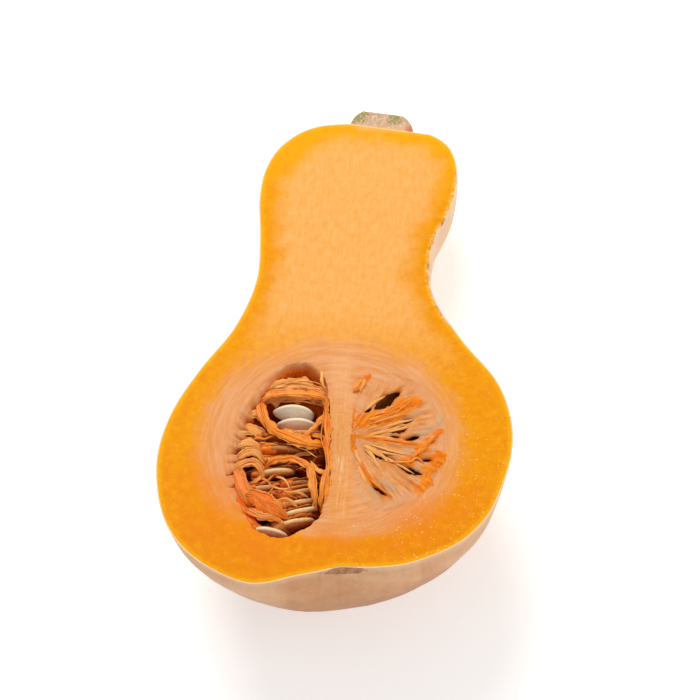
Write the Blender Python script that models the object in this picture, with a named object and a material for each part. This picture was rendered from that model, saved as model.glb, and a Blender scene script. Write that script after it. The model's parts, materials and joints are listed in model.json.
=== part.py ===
"""Half of a butternut squash, cut lengthwise through its stem and its blossom end.

The half lies on its rind with the cut face up. Everything is modelled in the frame of the cut:
X runs across it, Y from the blossom end to the stem, and Z is square to it, so the solid squash
is at negative Z. One empty then tips that frame back until the bulb and the back of the neck
both touch the surface underneath. Lengths are written in millimetres and scaled by MM.
"""
import math

import bmesh
import bpy
from mathutils import Matrix, Vector

MM = 0.001

# The squash: stations along its length, each the left and right edge of the section (x, y)
# and the depth of the section under the cut. The first is the blossom scar, the last the stem.
STATIONS = [
    ((5, -46.5), (5, -46.5), 0),
    ((-10, -51), (18, -46), 12.5),
    ((-26, -55), (31, -43), 26),
    ((-42, -49), (45.5, -35), 40.5),
    ((-54, -39), (54.5, -25), 50.5),
    ((-61.5, -25), (59.5, -14), 56),
    ((-65, -5), (63.5, 3), 59),
    ((-62, 15), (63, 19), 57.5),
    ((-53.5, 35), (57, 36), 51),
    ((-42.5, 55), (43.5, 54), 40),
    ((-36.5, 77), (32, 75), 33),
    ((-37, 98), (31, 97), 32.5),
    ((-39, 118), (37, 117), 35.5),
    ((-37.5, 134), (38.5, 133), 35),
    ((-31, 147), (34.5, 147), 30.5),
    ((-18, 156), (24.5, 154.5), 20),
    ((6, 158.5), (6, 158.5), 0),
]
NECK_SKEW = 8.5         # how far below the cut the right side of the neck is widest
NECK_SKEW_STATION = 11  # where along the stations that is strongest
NECK_SKEW_REACH = 4     # and how many stations it fades over
BULB_TUCK = 0.22        # share by which the bulb's lower left is flatter than an ellipse
BULB_TUCK_STATION = 3   # where along the stations that is strongest
BULB_TUCK_REACH = 4.5   # and how many stations it fades over
BODY_SEGMENTS = 52
BODY_RINGS = 46

# The seed cavity is two hollows, either side of the pale wall down the middle.
OPEN_HOLLOW = [(-16.5, 40.5), (-25, 36), (-30.5, 25), (-35.5, 13), (-38.5, -1), (-38, -13),
               (-35, -23.5), (-29.5, -32.5), (-20, -36.5), (-10, -33.5), (-3.5, -25), (-1.5, -12),
               (-2, 6), (-4, 24), (-7.5, 36)]
OPEN_HOLLOW_CENTRE = (-18, 3)
OPEN_HOLLOW_DEPTH = 27
VEILED_HOLLOW = [(8, 34), (6, 22), (6.5, 4), (8.5, -13), (15, -22), (27, -19), (36, -9),
                 (39.5, 6), (37.5, 20), (30, 31), (18, 36.5)]
VEILED_HOLLOW_CENTRE = (21, 8)
VEILED_HOLLOW_DEPTH = 16
WALL_POWER = 3.5        # the higher, the steeper the hollows' walls and the flatter their floors

# The veil of pulp that still covers the right hollow, and the slits torn in it:
# each slit is its centre, its length and width, and its heading from X in degrees.
VEIL_TOP = 0.6
VEIL_THICKNESS = 1.6
VEIL_GAP = 0.6
SLITS = [
    ((16.8, 27.3), 11, 3.6, 38),
    ((12.5, 20.5), 5, 2.6, 15),
    ((24.8, 17.3), 5, 2, 5),
    ((21.4, 13.4), 7, 3, 4),
    ((28.0, 10.2), 7, 2.4, 3),
    ((16.4, 3.2), 11, 3.2, -20),
    ((28.5, -3.2), 7, 3.2, -15),
    ((13.5, -13), 6, 2, -45),
]

# Seeds: length, width and thickness, and where each lies: centre (x, y), depth of the centre,
# heading of the long axis from X, and lean of the flat side from lying flush with the cut.
SEED_LENGTH = 15.6
SEED_WIDTH = 8.8
SEED_THICKNESS = 2.4
SEED_TAPER = 0.26
SEED_GRID = (12, 7)
OPEN_SEEDS = [
    (-17.6, 21.8, 7.3, -3, 75),
    (-15.6, 16.4, 7.6, -3, 82),
    (-24.6, 9.8, 7.8, -4, 86),
    (-12.4, 12.2, 8.0, 2, 92),
    (-20.6, 5.0, 7.6, 2, 98),
    (-22.4, 0.0, 7.5, 7, 100),
    (-22.6, -4.8, 7.4, 11, 103),
    (-11.9, -8.6, 8.2, 10, 103),
    (-12.2, -12.8, 7.5, 16, 105),
    (-27.4, -12.2, 7.6, 12, 103),
    (-12.6, -17.0, 7.8, 16, 105),
    (-12.4, -21.2, 7.4, 17, 105),
    (-27.0, -17.6, 7.8, 10, 100),
    (-13.4, -26.0, 7.2, 18, 100),
    (-22.8, -30.6, 6.8, -2, 92),
    (-17.5, 27.0, 17.2, 4, 84),
    (-20.5, 19.0, 17.6, -6, 90),
    (-22.0, 10.5, 17.8, 3, 96),
    (-22.5, 2.0, 18.0, -4, 88),
    (-21.5, -7.0, 17.8, 6, 94),
    (-20.5, -15.0, 17.6, 12, 98),
    (-18.0, -23.0, 17.0, 4, 90),
]
VEILED_SEEDS = [
    (16.8, 27.6, 7.6, 36, 55),
    (15.4, 19.0, 7.6, 10, 58),
    (29.6, 14.8, 7.6, 8, 60),
    (15.6, 10.8, 7.6, 0, 60),
    (30.2, 6.8, 7.6, -2, 60),
    (15.2, 2.8, 7.6, -12, 62),
    (28.6, -3.6, 7.6, -14, 62),
    (15.6, -6.2, 7.6, -30, 62),
    (17.0, -14.4, 7.6, -42, 62),
]

# Loose ribbons of pulp in the open hollow: radius, then the points they run through.
PULP_RIBBONS = {
    "pulp_drape": (1.6, [(-27, 26.2, -4), (-21, 28.6, -2.6), (-13, 29.4, -2.6), (-6.6, 28.4, -4)]),
    "pulp_flap": (1.0, [(-30.5, 18.5, -3), (-25, 13.6, -1.8), (-17, 8.8, -1.6), (-7, 6.8, -2.6)]),
    "pulp_cord": (0.9, [(-9.5, -2.5, -3), (-7.6, -8, -1.7), (-6.8, -14, -1.7), (-7.4, -20, -1.9)]),
    "pulp_wall": (1.2, [(-33.2, 5, -4), (-34.6, -2, -3.2), (-34.8, -9, -3.2), (-33.4, -18, -4)]),
}

# The stem stub: it sits in a shallow seat in the top of the neck and was cut with the squash.
STEM_X = 6.4
STEM_SEAT_Y = 154.4
STEM_GAP = 0.35
STEM_HEIGHT = 7.6
STEM_BASE_RADIUS = 12.6
STEM_TOP_RADIUS = 9.8
STEM_RIBS = 5
STEM_RIB_HEIGHT = 0.05
STEM_SLANT = math.radians(-5)
STEM_EDGE = 0.7

FLESH = (0.95, 0.36, 0.04)
SEED_COAT = (0.72, 0.55, 0.38)
PULP = (0.86, 0.24, 0.03)
VEIL = (0.90, 0.42, 0.13)
STEM_WOOD = (0.36, 0.29, 0.16)

for old in list(bpy.data.objects):
    bpy.data.objects.remove(old, do_unlink=True)


def new_collection(name):
    collection = bpy.data.collections.new(name)
    bpy.context.scene.collection.children.link(collection)
    return collection


PARTS = new_collection("butternut_squash_half")
CUTTERS = new_collection("cutters")
CUT_FRAME = bpy.data.objects.new("cut_frame", None)
PARTS.objects.link(CUT_FRAME)


def material(name, colour, roughness):
    made = bpy.data.materials.new(name)
    made.use_nodes = True
    shader = made.node_tree.nodes["Principled BSDF"]
    shader.inputs["Base Color"].default_value = (*colour, 1.0)
    shader.inputs["Roughness"].default_value = roughness
    shader.inputs["Metallic"].default_value = 0.0
    return made


def add_part(name, data, finish):
    part = bpy.data.objects.new(name, data)
    part.parent = CUT_FRAME
    if not data.materials:
        data.materials.append(finish)
    PARTS.objects.link(part)
    return part


def add_cutter(name, data):
    cutter = bpy.data.objects.new(name, data)
    cutter.parent = CUT_FRAME
    cutter.hide_render = True
    cutter.display_type = "WIRE"
    CUTTERS.objects.link(cutter)
    return cutter


def cut(part, cutter, operation="DIFFERENCE"):
    modifier = part.modifiers.new(cutter.name, "BOOLEAN")
    modifier.solver = "EXACT"
    modifier.operation = operation
    modifier.object = cutter


def mesh_from(name, bm):
    """Finish a bmesh: faces out, scaled from millimetres, smooth apart from real edges."""
    bmesh.ops.recalc_face_normals(bm, faces=bm.faces)
    if bm.calc_volume(signed=True) < 0:
        bmesh.ops.reverse_faces(bm, faces=bm.faces)
    bmesh.ops.scale(bm, vec=(MM, MM, MM), verts=bm.verts)
    mesh = bpy.data.meshes.new(name)
    bm.to_mesh(mesh)
    bm.free()
    mesh.shade_smooth()
    mesh.set_sharp_from_angle(angle=math.radians(40))
    return mesh


def box_mesh(name, low, high):
    bm = bmesh.new()
    bmesh.ops.create_cube(bm, size=1.0)
    low, high = Vector(low), Vector(high)
    bmesh.ops.scale(bm, vec=high - low, verts=bm.verts)
    bmesh.ops.translate(bm, vec=(low + high) / 2, verts=bm.verts)
    return mesh_from(name, bm)


def between(rows, place, closed=False):
    """The smooth (Catmull-Rom) value at a fractional place in a list of number tuples."""
    count = len(rows)
    index = min(int(place), count - 2) if not closed else int(place)
    t = place - index
    if closed:
        a, b, c, d = (rows[(index + step) % count] for step in (-1, 0, 1, 2))
    else:
        a, b, c, d = (rows[min(max(index + step, 0), count - 1)] for step in (-1, 0, 1, 2))
    return [0.5 * (2 * q + (r - p) * t + (2 * p - 5 * q + 4 * r - s) * t * t
                   + (3 * q - p - 3 * r + s) * t ** 3) for p, q, r, s in zip(a, b, c, d)]


def squash_point(along, around):
    """A point of the rind: along is a fractional station, around is the angle about Y."""
    left_x, left_y, right_x, right_y, depth = between(
        [(*left, *right, depth) for left, right, depth in STATIONS], along)
    side = math.cos(around)
    x = (left_x + right_x) / 2 + (right_x - left_x) / 2 * side
    y = (left_y + right_y) / 2 + (right_y - left_y) / 2 * side
    fade = max(0.0, 1 - ((along - NECK_SKEW_STATION) / NECK_SKEW_REACH) ** 2)
    skew = NECK_SKEW * fade ** 2 * max(0.0, side) ** 2
    fade = max(0.0, 1 - ((along - BULB_TUCK_STATION) / BULB_TUCK_REACH) ** 2)
    tuck = 1 - BULB_TUCK * fade ** 2 * max(0.0, -side) ** 2
    return Vector((x, y, depth * math.sin(around) * tuck - skew))


def whole_squash():
    """A sphere whose rings become the stations and whose poles become scar and stem."""
    bm = bmesh.new()
    bmesh.ops.create_uvsphere(bm, u_segments=BODY_SEGMENTS, v_segments=BODY_RINGS, radius=1.0)
    last = len(STATIONS) - 1
    for vert in bm.verts:
        along = math.acos(max(-1.0, min(1.0, vert.co.z))) / math.pi * last
        around = math.atan2(vert.co.y, vert.co.x) + math.pi / BODY_SEGMENTS
        vert.co = squash_point(along, around)
    return mesh_from("squash_half", bm)


def hollow_mesh(name, outline, centre, depth, inset=0.0):
    """A bowl with a drawn rim: its half above the rim is only there to cut cleanly."""
    bm = bmesh.new()
    bmesh.ops.create_uvsphere(bm, u_segments=36, v_segments=16, radius=1.0)
    centre = Vector(centre)
    for vert in bm.verts:
        turn = math.atan2(vert.co.y, vert.co.x) / (2 * math.pi) % 1.0
        rim = Vector(between(outline, turn * len(outline), closed=True)) - centre
        rim *= 1 - inset / rim.length
        spread = (1 - min(1.0, abs(vert.co.z)) ** WALL_POWER) ** (1 / WALL_POWER)
        flat = centre + rim * spread
        vert.co = Vector((flat.x, flat.y, vert.co.z * (depth - inset)))
    return mesh_from(name, bm)


def squash_half(flesh):
    half = add_part("squash_half", whole_squash(), flesh)
    cut(half, add_cutter("knife", box_mesh("knife", (-90, -90, 0), (90, 190, 90))))
    open_hollow = hollow_mesh("open_hollow", OPEN_HOLLOW, OPEN_HOLLOW_CENTRE, OPEN_HOLLOW_DEPTH)
    cut(half, add_cutter("open_hollow", open_hollow))
    veiled = hollow_mesh("veiled_hollow", VEILED_HOLLOW, VEILED_HOLLOW_CENTRE, VEILED_HOLLOW_DEPTH)
    cut(half, add_cutter("veiled_hollow", veiled))
    bm = bmesh.new()
    bmesh.ops.create_cone(bm, cap_ends=True, segments=40, depth=20,
                          radius1=STEM_BASE_RADIUS + 1, radius2=STEM_BASE_RADIUS + 1)
    place_along_stem(bm, STEM_SEAT_Y + 10)
    cut(half, add_cutter("stem_seat", mesh_from("stem_seat", bm)))
    return half


def place_along_stem(bm, centre_y, slant=0.0):
    """Turn a shape made along Z so that it stands along the stem, about its own centre."""
    turn = Matrix.Rotation(slant, 3, "Z") @ Matrix.Rotation(math.radians(-90), 3, "X")
    bmesh.ops.rotate(bm, cent=(0, 0, 0), matrix=turn, verts=bm.verts)
    bmesh.ops.translate(bm, vec=(STEM_X, centre_y, 0), verts=bm.verts)


def stem(wood):
    """A ribbed stub, flared at its seat, cut flush with the squash."""
    bm = bmesh.new()
    bmesh.ops.create_cone(bm, cap_ends=True, segments=40, depth=STEM_HEIGHT,
                          radius1=STEM_BASE_RADIUS, radius2=STEM_TOP_RADIUS)
    for vert in bm.verts:
        rib = 1 + STEM_RIB_HEIGHT * math.cos(STEM_RIBS * math.atan2(vert.co.y, vert.co.x))
        is_top = vert.co.z > 0
        vert.co.x *= rib
        vert.co.y *= rib
        if is_top:
            vert.co.z += vert.co.x * math.tan(STEM_SLANT)
    top_edges = [edge for edge in bm.edges if all(vert.co.z > 0 for vert in edge.verts)]
    bmesh.ops.bevel(bm, geom=top_edges, offset=STEM_EDGE, segments=2, affect="EDGES")
    place_along_stem(bm, STEM_SEAT_Y + STEM_GAP + STEM_HEIGHT / 2)
    stub = add_part("stem", mesh_from("stem", bm), wood)
    cut(stub, bpy.data.objects["knife"])
    return stub


def seed_mesh():
    """A flat teardrop, thickest along its middle."""
    bm = bmesh.new()
    around, along = SEED_GRID
    bmesh.ops.create_uvsphere(bm, u_segments=around, v_segments=along, radius=1.0)
    bmesh.ops.rotate(bm, cent=(0, 0, 0), matrix=Matrix.Rotation(math.radians(90), 3, "Y"),
                     verts=bm.verts)
    for vert in bm.verts:
        narrowing = 1 - SEED_TAPER * vert.co.x
        vert.co.x *= SEED_LENGTH / 2
        vert.co.y *= SEED_WIDTH / 2 * narrowing
        vert.co.z *= SEED_THICKNESS / 2 * narrowing
    return mesh_from("seed", bm)


def seeds(coat):
    mesh = seed_mesh()
    for number, (x, y, depth, heading, lean) in enumerate(OPEN_SEEDS + VEILED_SEEDS, start=1):
        seed = add_part(f"seed_{number:02d}", mesh, coat)
        seed.location = Vector((x, y, -depth)) * MM
        seed.rotation_euler = (math.radians(lean), 0, math.radians(heading))


def pulp_veil(pulp):
    """The slitted skin of pulp over the right hollow."""
    shape = hollow_mesh("pulp_veil", VEILED_HOLLOW, VEILED_HOLLOW_CENTRE, VEILED_HOLLOW_DEPTH,
                        inset=VEIL_GAP)
    veil = add_part("pulp_veil", shape, pulp)
    slab = box_mesh("veil_slab", (-90, -90, -VEIL_TOP - VEIL_THICKNESS), (90, 90, -VEIL_TOP))
    cut(veil, add_cutter("veil_slab", slab), "INTERSECT")
    for number, (centre, length, width, heading) in enumerate(SLITS, start=1):
        bm = bmesh.new()
        bmesh.ops.create_uvsphere(bm, u_segments=14, v_segments=8, radius=0.5)
        bmesh.ops.scale(bm, vec=(length, width, 3 * VEIL_THICKNESS + 2), verts=bm.verts)
        turn = Matrix.Rotation(math.radians(heading), 3, "Z")
        bmesh.ops.rotate(bm, cent=(0, 0, 0), matrix=turn, verts=bm.verts)
        middle = -VEIL_TOP - VEIL_THICKNESS / 2
        bmesh.ops.translate(bm, vec=(*centre, middle), verts=bm.verts)
        cut(veil, add_cutter(f"slit_{number}", mesh_from(f"slit_{number}", bm)))
    return veil


def pulp_ribbon(name, radius, points, pulp):
    curve = bpy.data.curves.new(name, "CURVE")
    curve.dimensions = "3D"
    curve.bevel_depth = radius * MM
    curve.bevel_resolution = 2
    curve.use_fill_caps = True
    spline = curve.splines.new("POLY")
    steps = 4 * (len(points) - 1)
    spline.points.add(steps)
    for index in range(steps + 1):
        place = index / steps * (len(points) - 1)
        x, y, z = between(points, place)
        spline.points[index].co = (x * MM, y * MM, z * MM, 1.0)
    return add_part(name, curve, pulp)


def world_points(part):
    bpy.context.view_layer.update()
    evaluated = part.evaluated_get(bpy.context.evaluated_depsgraph_get())
    mesh = evaluated.to_mesh()
    points = [part.matrix_world @ vert.co for vert in mesh.vertices]
    evaluated.to_mesh_clear()
    return points


def lay_down(half, others):
    """Tip the cut frame until bulb and neck touch the surface, then centre it over the origin."""
    profile = [(along, squash_point(along, math.radians(-90)))
               for along in [step / 20 for step in range(20 * (len(STATIONS) - 1) + 1)]]
    bulb = [point for along, point in profile if along < len(STATIONS) / 2]
    neck = [point for along, point in profile if along >= len(STATIONS) / 2 + 2]
    tilt = 0.0
    for _ in range(20):
        def height(point):
            return point.z * math.cos(tilt) - point.y * math.sin(tilt)
        low_bulb = min(bulb, key=height)
        low_neck = min(neck, key=height)
        tilt = math.atan2(low_neck.z - low_bulb.z, low_neck.y - low_bulb.y)
    CUT_FRAME.rotation_euler = (-tilt, 0, 0)
    points = [point for part in [half, *others] for point in world_points(part)]
    low = Vector([min(point[axis] for point in points) for axis in range(3)])
    high = Vector([max(point[axis] for point in points) for axis in range(3)])
    CUT_FRAME.location = (-(low.x + high.x) / 2, -(low.y + high.y) / 2, -low.z)


HALF = squash_half(material("flesh", FLESH, 0.45))
STUB = stem(material("stem_wood", STEM_WOOD, 0.8))
seeds(material("seed_coat", SEED_COAT, 0.4))
pulp_veil(material("pulp_veil", VEIL, 0.4))
PULP_FINISH = material("pulp", PULP, 0.35)
for ribbon_name, (ribbon_radius, ribbon_points) in PULP_RIBBONS.items():
    pulp_ribbon(ribbon_name, ribbon_radius, ribbon_points, PULP_FINISH)
lay_down(HALF, [STUB])
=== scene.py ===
import json
import math
import random

import bmesh
import bpy
import numpy as np
from mathutils import Matrix, Vector, noise
from mathutils.geometry import delaunay_2d_cdt


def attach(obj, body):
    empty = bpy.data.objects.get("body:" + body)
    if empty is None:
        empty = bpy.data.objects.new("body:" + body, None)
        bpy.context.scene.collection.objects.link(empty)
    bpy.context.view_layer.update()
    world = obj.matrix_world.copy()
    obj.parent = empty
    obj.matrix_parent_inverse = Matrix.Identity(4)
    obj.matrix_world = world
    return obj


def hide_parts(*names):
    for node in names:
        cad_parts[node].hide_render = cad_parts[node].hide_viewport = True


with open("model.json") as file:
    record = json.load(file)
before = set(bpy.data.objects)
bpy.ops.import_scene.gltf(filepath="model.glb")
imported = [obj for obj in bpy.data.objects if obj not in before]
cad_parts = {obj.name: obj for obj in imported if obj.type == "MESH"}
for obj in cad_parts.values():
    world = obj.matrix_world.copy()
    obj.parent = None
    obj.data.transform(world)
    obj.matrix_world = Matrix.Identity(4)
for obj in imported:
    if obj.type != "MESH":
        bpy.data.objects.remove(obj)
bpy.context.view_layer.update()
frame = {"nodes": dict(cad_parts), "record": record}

# THE CUT
# The knife went through stem and blossom scar and left one flat face. Everything is laid out on it:
# X across, Y from the blossom end to the stem, Z square to it, in millimetres, the flesh below zero.
MM = 0.001
UP_THE_NECK = 0.100
cut_face = next(m for m in frame["record"]["mounts"] if m["name"] == "cut_face")
face_normal = Vector(cut_face["axis"]).normalized()
toward_stem = face_normal.cross(Vector((1, 0, 0))).normalized()
bulb_middle = Vector(cut_face["pos_m"]) - toward_stem * UP_THE_NECK
across = toward_stem.cross(face_normal)
CUT = Matrix((across, toward_stem, face_normal)).transposed().to_4x4()
CUT.translation = bulb_middle


def lay_on_cut(name, mesh):
    """Put a mesh made in the cut's own millimetres where the cut lies, riding on the squash."""
    mesh.transform(CUT @ Matrix.Scale(MM, 4))
    piece = bpy.data.objects.new(name, mesh)
    bpy.context.scene.collection.objects.link(piece)
    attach(piece, "root")
    return piece


# THE STUDIO
# A white table under one big soft light high behind the stem end, a weaker one on the right, and
# a pale sky. The camera looks down at the cut, 35 degrees off square to it.
VIEW_DISTANCE = 850
VIEW_ANGLE = math.radians(17)
VIEW_ASIDE = (-5.1, -38.1)
VIEW_LEAN = math.radians(35)
VIEW_YAW = math.radians(-4.3)
VIEW_ROLL = math.radians(-5)
TABLE_REACH = 3
TABLE_GLOW = 0.36
SKY_STRENGTH = 0.48
camera = bpy.data.objects.new("camera", bpy.data.cameras.new("camera"))
camera.data.angle = VIEW_ANGLE
bpy.context.scene.collection.objects.link(camera)
looking = (Matrix.Rotation(-VIEW_YAW, 4, "Y") @ Matrix.Rotation(VIEW_LEAN, 4, "X")
           @ Matrix.Rotation(-VIEW_ROLL, 4, "Z"))
standing = Matrix.Translation(Vector((-VIEW_ASIDE[0], -VIEW_ASIDE[1], VIEW_DISTANCE)) * MM)
camera.matrix_world = CUT @ looking @ standing
bpy.context.scene.camera = camera
bpy.context.scene.view_settings.view_transform = "Standard"


def soft_light(name, place, size, watts):
    """A round lamp, its place and size in metres, facing the squash."""
    lamp = bpy.data.lights.new(name, "AREA")
    lamp.shape = "DISK"
    lamp.size = size
    lamp.energy = watts
    holder = bpy.data.objects.new(name, lamp)
    holder.location = place
    holder.rotation_euler = (Vector((0, 0, 0.03)) - Vector(place)).to_track_quat("-Z", "Y").to_euler()
    bpy.context.scene.collection.objects.link(holder)


soft_light("key", (-0.3, 0.75, 0.95), 0.8, 10.5)
soft_light("fill", (0.9, -0.25, 0.55), 0.9, 3)
sky = bpy.data.worlds.new("sky")
sky.use_nodes = True
sky_light = sky.node_tree.nodes["Background"]
sky_light.inputs["Color"].default_value = (1, 1, 1, 1)
sky_light.inputs["Strength"].default_value = SKY_STRENGTH
bpy.context.scene.world = sky


class Wire:
    """One output of a material's node. Sums on it add Math nodes; node() adds any other."""

    def __init__(self, socket):
        self.socket = socket

    def node(self, kind, settings=None, values=None, output=0):
        """Add a node, with its settings first and then its sockets by name or number."""
        added = self.socket.id_data.nodes.new(kind)
        for name, setting in (settings or {}).items():
            setattr(added, name, setting)
        for name, value in (values or {}).items():
            if isinstance(value, Wire):
                self.socket.id_data.links.new(value.socket, added.inputs[name])
            else:
                added.inputs[name].default_value = value
        return Wire(added.outputs[output])

    def sum(self, operation, *values):
        return self.node("ShaderNodeMath", {"operation": operation}, dict(enumerate(values)))

    def __add__(self, other):
        return self.sum("ADD", self, other)

    def __sub__(self, other):
        return self.sum("SUBTRACT", self, other)

    def __rsub__(self, other):
        return self.sum("SUBTRACT", other, self)

    def __mul__(self, other):
        return self.sum("MULTIPLY", self, other)

    def __truediv__(self, other):
        return self.sum("DIVIDE", self, other)

    def __pow__(self, other):
        return self.sum("POWER", self, other)

    __radd__ = __add__

    def rise(self, low, high):
        """0 below low, 1 above high, a smooth slope between; low may be the larger."""
        values = {"Value": self, "From Min": low, "From Max": high}
        return self.node("ShaderNodeMapRange", {"interpolation_type": "SMOOTHSTEP"}, values)

    def noise(self, scale, detail=3.0, roughness=0.55, distortion=0.0):
        values = {"Vector": self, "Scale": scale, "Detail": detail, "Roughness": roughness,
                  "Distortion": distortion}
        return self.node("ShaderNodeTexNoise", {"normalize": True}, values)

    def stretched(self, x, y, z):
        values = {0: self, 1: (x, y, z)}
        return self.node("ShaderNodeVectorMath", {"operation": "MULTIPLY"}, values)

    def split(self):
        return [self.node("ShaderNodeSeparateXYZ", None, {0: self}, axis) for axis in range(3)]

    def joined(self, y, z=0.0):
        return self.node("ShaderNodeCombineXYZ", None, {0: self, 1: y, 2: z})


def paint_over(top, under, amount):
    """Mix two colours, each a wire or a hex code, by a wire for how much of the top one shows."""
    top, under = (tint(colour) if isinstance(colour, str) else colour for colour in (top, under))
    return amount.node("ShaderNodeMix", {"data_type": "RGBA"}, {0: amount, 6: under, 7: top}, 2)


def layered(colour, *layers):
    """Lay more colours over one in turn, each given with the amount of it that shows."""
    for top, amount in layers:
        colour = paint_over(top, colour, amount)
    return colour


def tint(hex_colour):
    """A colour as seen on a screen, turned into light."""
    parts = [int(hex_colour[place:place + 2], 16) / 255 for place in (0, 2, 4)]
    linear = [((part + 0.055) / 1.055) ** 2.4 if part > 0.04 else part / 12.92 for part in parts]
    return (*linear, 1.0)


def new_finish(name, mask_names=()):
    """A blank material, its shader, the place on the cut in millimetres, and its painted masks."""
    finish = bpy.data.materials.new(name)
    finish.use_nodes = True
    nodes = finish.node_tree.nodes
    shader = nodes["Principled BSDF"]
    place = Wire(nodes.new("ShaderNodeTexCoord").outputs["Object"])
    place = place.node("ShaderNodeMapping", {"vector_type": "TEXTURE"}, {
        "Vector": place, "Location": CUT.translation, "Rotation": CUT.to_euler(),
        "Scale": (MM, MM, MM)})
    masks = []
    for mask_name in mask_names:
        reader = nodes.new("ShaderNodeAttribute")
        reader.attribute_name = mask_name
        masks.append(Wire(reader.outputs["Fac"]))
    return finish, shader, place, masks


def connect(shader, colour, roughness=None, height=None, bump=0.1):
    """Wire what changes over the surface into the shader; bump is in millimetres."""
    links = shader.id_data.links
    links.new(colour.socket, shader.inputs["Base Color"])
    if roughness is not None:
        links.new(roughness.socket, shader.inputs["Roughness"])
    if height is not None:
        relief = height.node("ShaderNodeBump", None, {"Height": height, "Distance": bump * MM,
                                                      "Strength": 1.0})
        links.new(relief.socket, shader.inputs["Normal"])


def set_all_over(shader, values):
    """Give a shader's sockets values that don't change over the surface."""
    for socket_name, value in values.items():
        shader.inputs[socket_name].default_value = value


table, table_shader, place, _ = new_finish("white_table")
connect(table_shader, paint_over("F4F3F1", "F8F7F5", place.noise(0.02, 2.0)))
set_all_over(table_shader, {"Roughness": 0.6, "Emission Color": (1, 1, 1, 1),
                            "Emission Strength": TABLE_GLOW})
floor_mesh = bpy.data.meshes.new("floor")
floor_mesh.from_pydata([(x * TABLE_REACH, y * TABLE_REACH, 0) for x, y in
                        ((-1, -1), (1, -1), (1, 1), (-1, 1))], [], [(0, 1, 2, 3)])
floor_mesh.materials.append(table)
floor = bpy.data.objects.new("floor", floor_mesh)
bpy.context.scene.collection.objects.link(floor)

# THE RIND
# A hard beige skin under a millimetre thick that grew as one with the flesh. It is a closed shell
# here: outside, inside and the thin cream line where the knife went through it.
STATIONS = [
    ((5, -46.5), (5, -46.5), 0),
    ((-10, -51), (18, -46), 12.5),
    ((-26, -55), (31, -43), 26),
    ((-42, -49), (45.5, -35), 40.5),
    ((-54, -39), (54.5, -25), 50.5),
    ((-61.5, -25), (59.5, -14), 56),
    ((-65, -5), (63.5, 3), 59),
    ((-62, 15), (63, 19), 57.5),
    ((-53.5, 35), (57, 36), 51),
    ((-42.5, 55), (43.5, 54), 40),
    ((-36.5, 77), (32, 75), 33),
    ((-37, 98), (31, 97), 32.5),
    ((-39, 118), (37, 117), 35.5),
    ((-37.5, 134), (38.5, 133), 35),
    ((-31, 147), (34.5, 147), 30.5),
    ((-18, 156), (24.5, 154.5), 20),
    ((6, 158.5), (6, 158.5), 0),
]
NECK_SKEW = 8.5
NECK_SKEW_STATION = 11
NECK_SKEW_REACH = 4
BULB_TUCK = 0.22
BULB_TUCK_STATION = 3
BULB_TUCK_REACH = 4.5
RIND_ROWS = 230
RIND_COLUMNS = 130
RIND_THICKNESS = 0.55
RIND_SET_BACK = 0.05
EDGE_ROUNDS = 12
CHIPPED_FROM, CHIPPED_TO = 50, 140
CHIP_DEPTH = 1.9
STEM_MIDDLE = Vector((6.4, 154.4, 0))
STEM_SEAT = 156.2
STEM_SLANT = 0.12


def along_curve(rows, place, closed=False):
    """Smooth (Catmull-Rom) values at fractional places in a list of points or numbers."""
    rows = np.asarray(rows, float)
    place = np.asarray(place, float)
    count = len(rows)
    first = np.floor(place).astype(int)
    if not closed:
        first = np.clip(first, 0, count - 2)
    share = (place - first)[..., None]
    around = [(first + step) % count if closed else np.clip(first + step, 0, count - 1)
              for step in (-1, 0, 1, 2)]
    p, q, r, s = (rows[index] for index in around)
    return 0.5 * (2 * q + (r - p) * share + (2 * p - 5 * q + 4 * r - s) * share ** 2
                  + (3 * q - p - 3 * r + s) * share ** 3)


def rough(points, size, seed, octaves=3):
    """Fractal noise about zero at each point; size is the width of its largest lumps in mm."""
    shift = Vector((seed * 17.3, seed * -9.1, seed * 5.7))
    return np.array([noise.fractal(Vector(point) / size + shift, 1.0, 2.0, octaves)
                     for point in points])


def squash_surface(along, turn):
    """Points of the rind: along is a fractional station, and turn goes from 0 at the right edge
    of the cut, under the squash, to 1 at the left edge."""
    flat = [(*left, *right, depth) for left, right, depth in STATIONS]
    left_x, left_y, right_x, right_y, depth = np.moveaxis(along_curve(flat, along), -1, 0)
    fade = np.clip(1 - ((along - NECK_SKEW_STATION) / NECK_SKEW_REACH) ** 2, 0, 1)
    skew = NECK_SKEW * fade ** 2
    right_edge = np.zeros_like(along)
    for _ in range(EDGE_ROUNDS):
        right_edge = np.arcsin(np.clip(skew * np.cos(right_edge) ** 2 / np.maximum(depth, 1), 0, 1))
    around = right_edge - (math.pi + right_edge) * turn
    side = np.cos(around)
    x = (left_x + right_x) / 2 + (right_x - left_x) / 2 * side
    y = (left_y + right_y) / 2 + (right_y - left_y) / 2 * side
    fade = np.clip(1 - ((along - BULB_TUCK_STATION) / BULB_TUCK_REACH) ** 2, 0, 1)
    tuck = 1 - BULB_TUCK * fade ** 2 * np.maximum(-side, 0) ** 2
    z = depth * np.sin(around) * tuck - skew * np.maximum(side, 0) ** 2
    return np.stack([x, y, z], -1)


def unit(vectors):
    return vectors / np.linalg.norm(vectors, axis=-1, keepdims=True)


def grid_faces(rows, columns, start=0, closed=False):
    """Faces between rows of points; closed joins the last point of each row to its first."""
    return [(start + r * columns + c, start + r * columns + (c + 1) % columns,
             start + (r + 1) * columns + (c + 1) % columns, start + (r + 1) * columns + c)
            for r in range(rows - 1) for c in range(columns if closed else columns - 1)]


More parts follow.
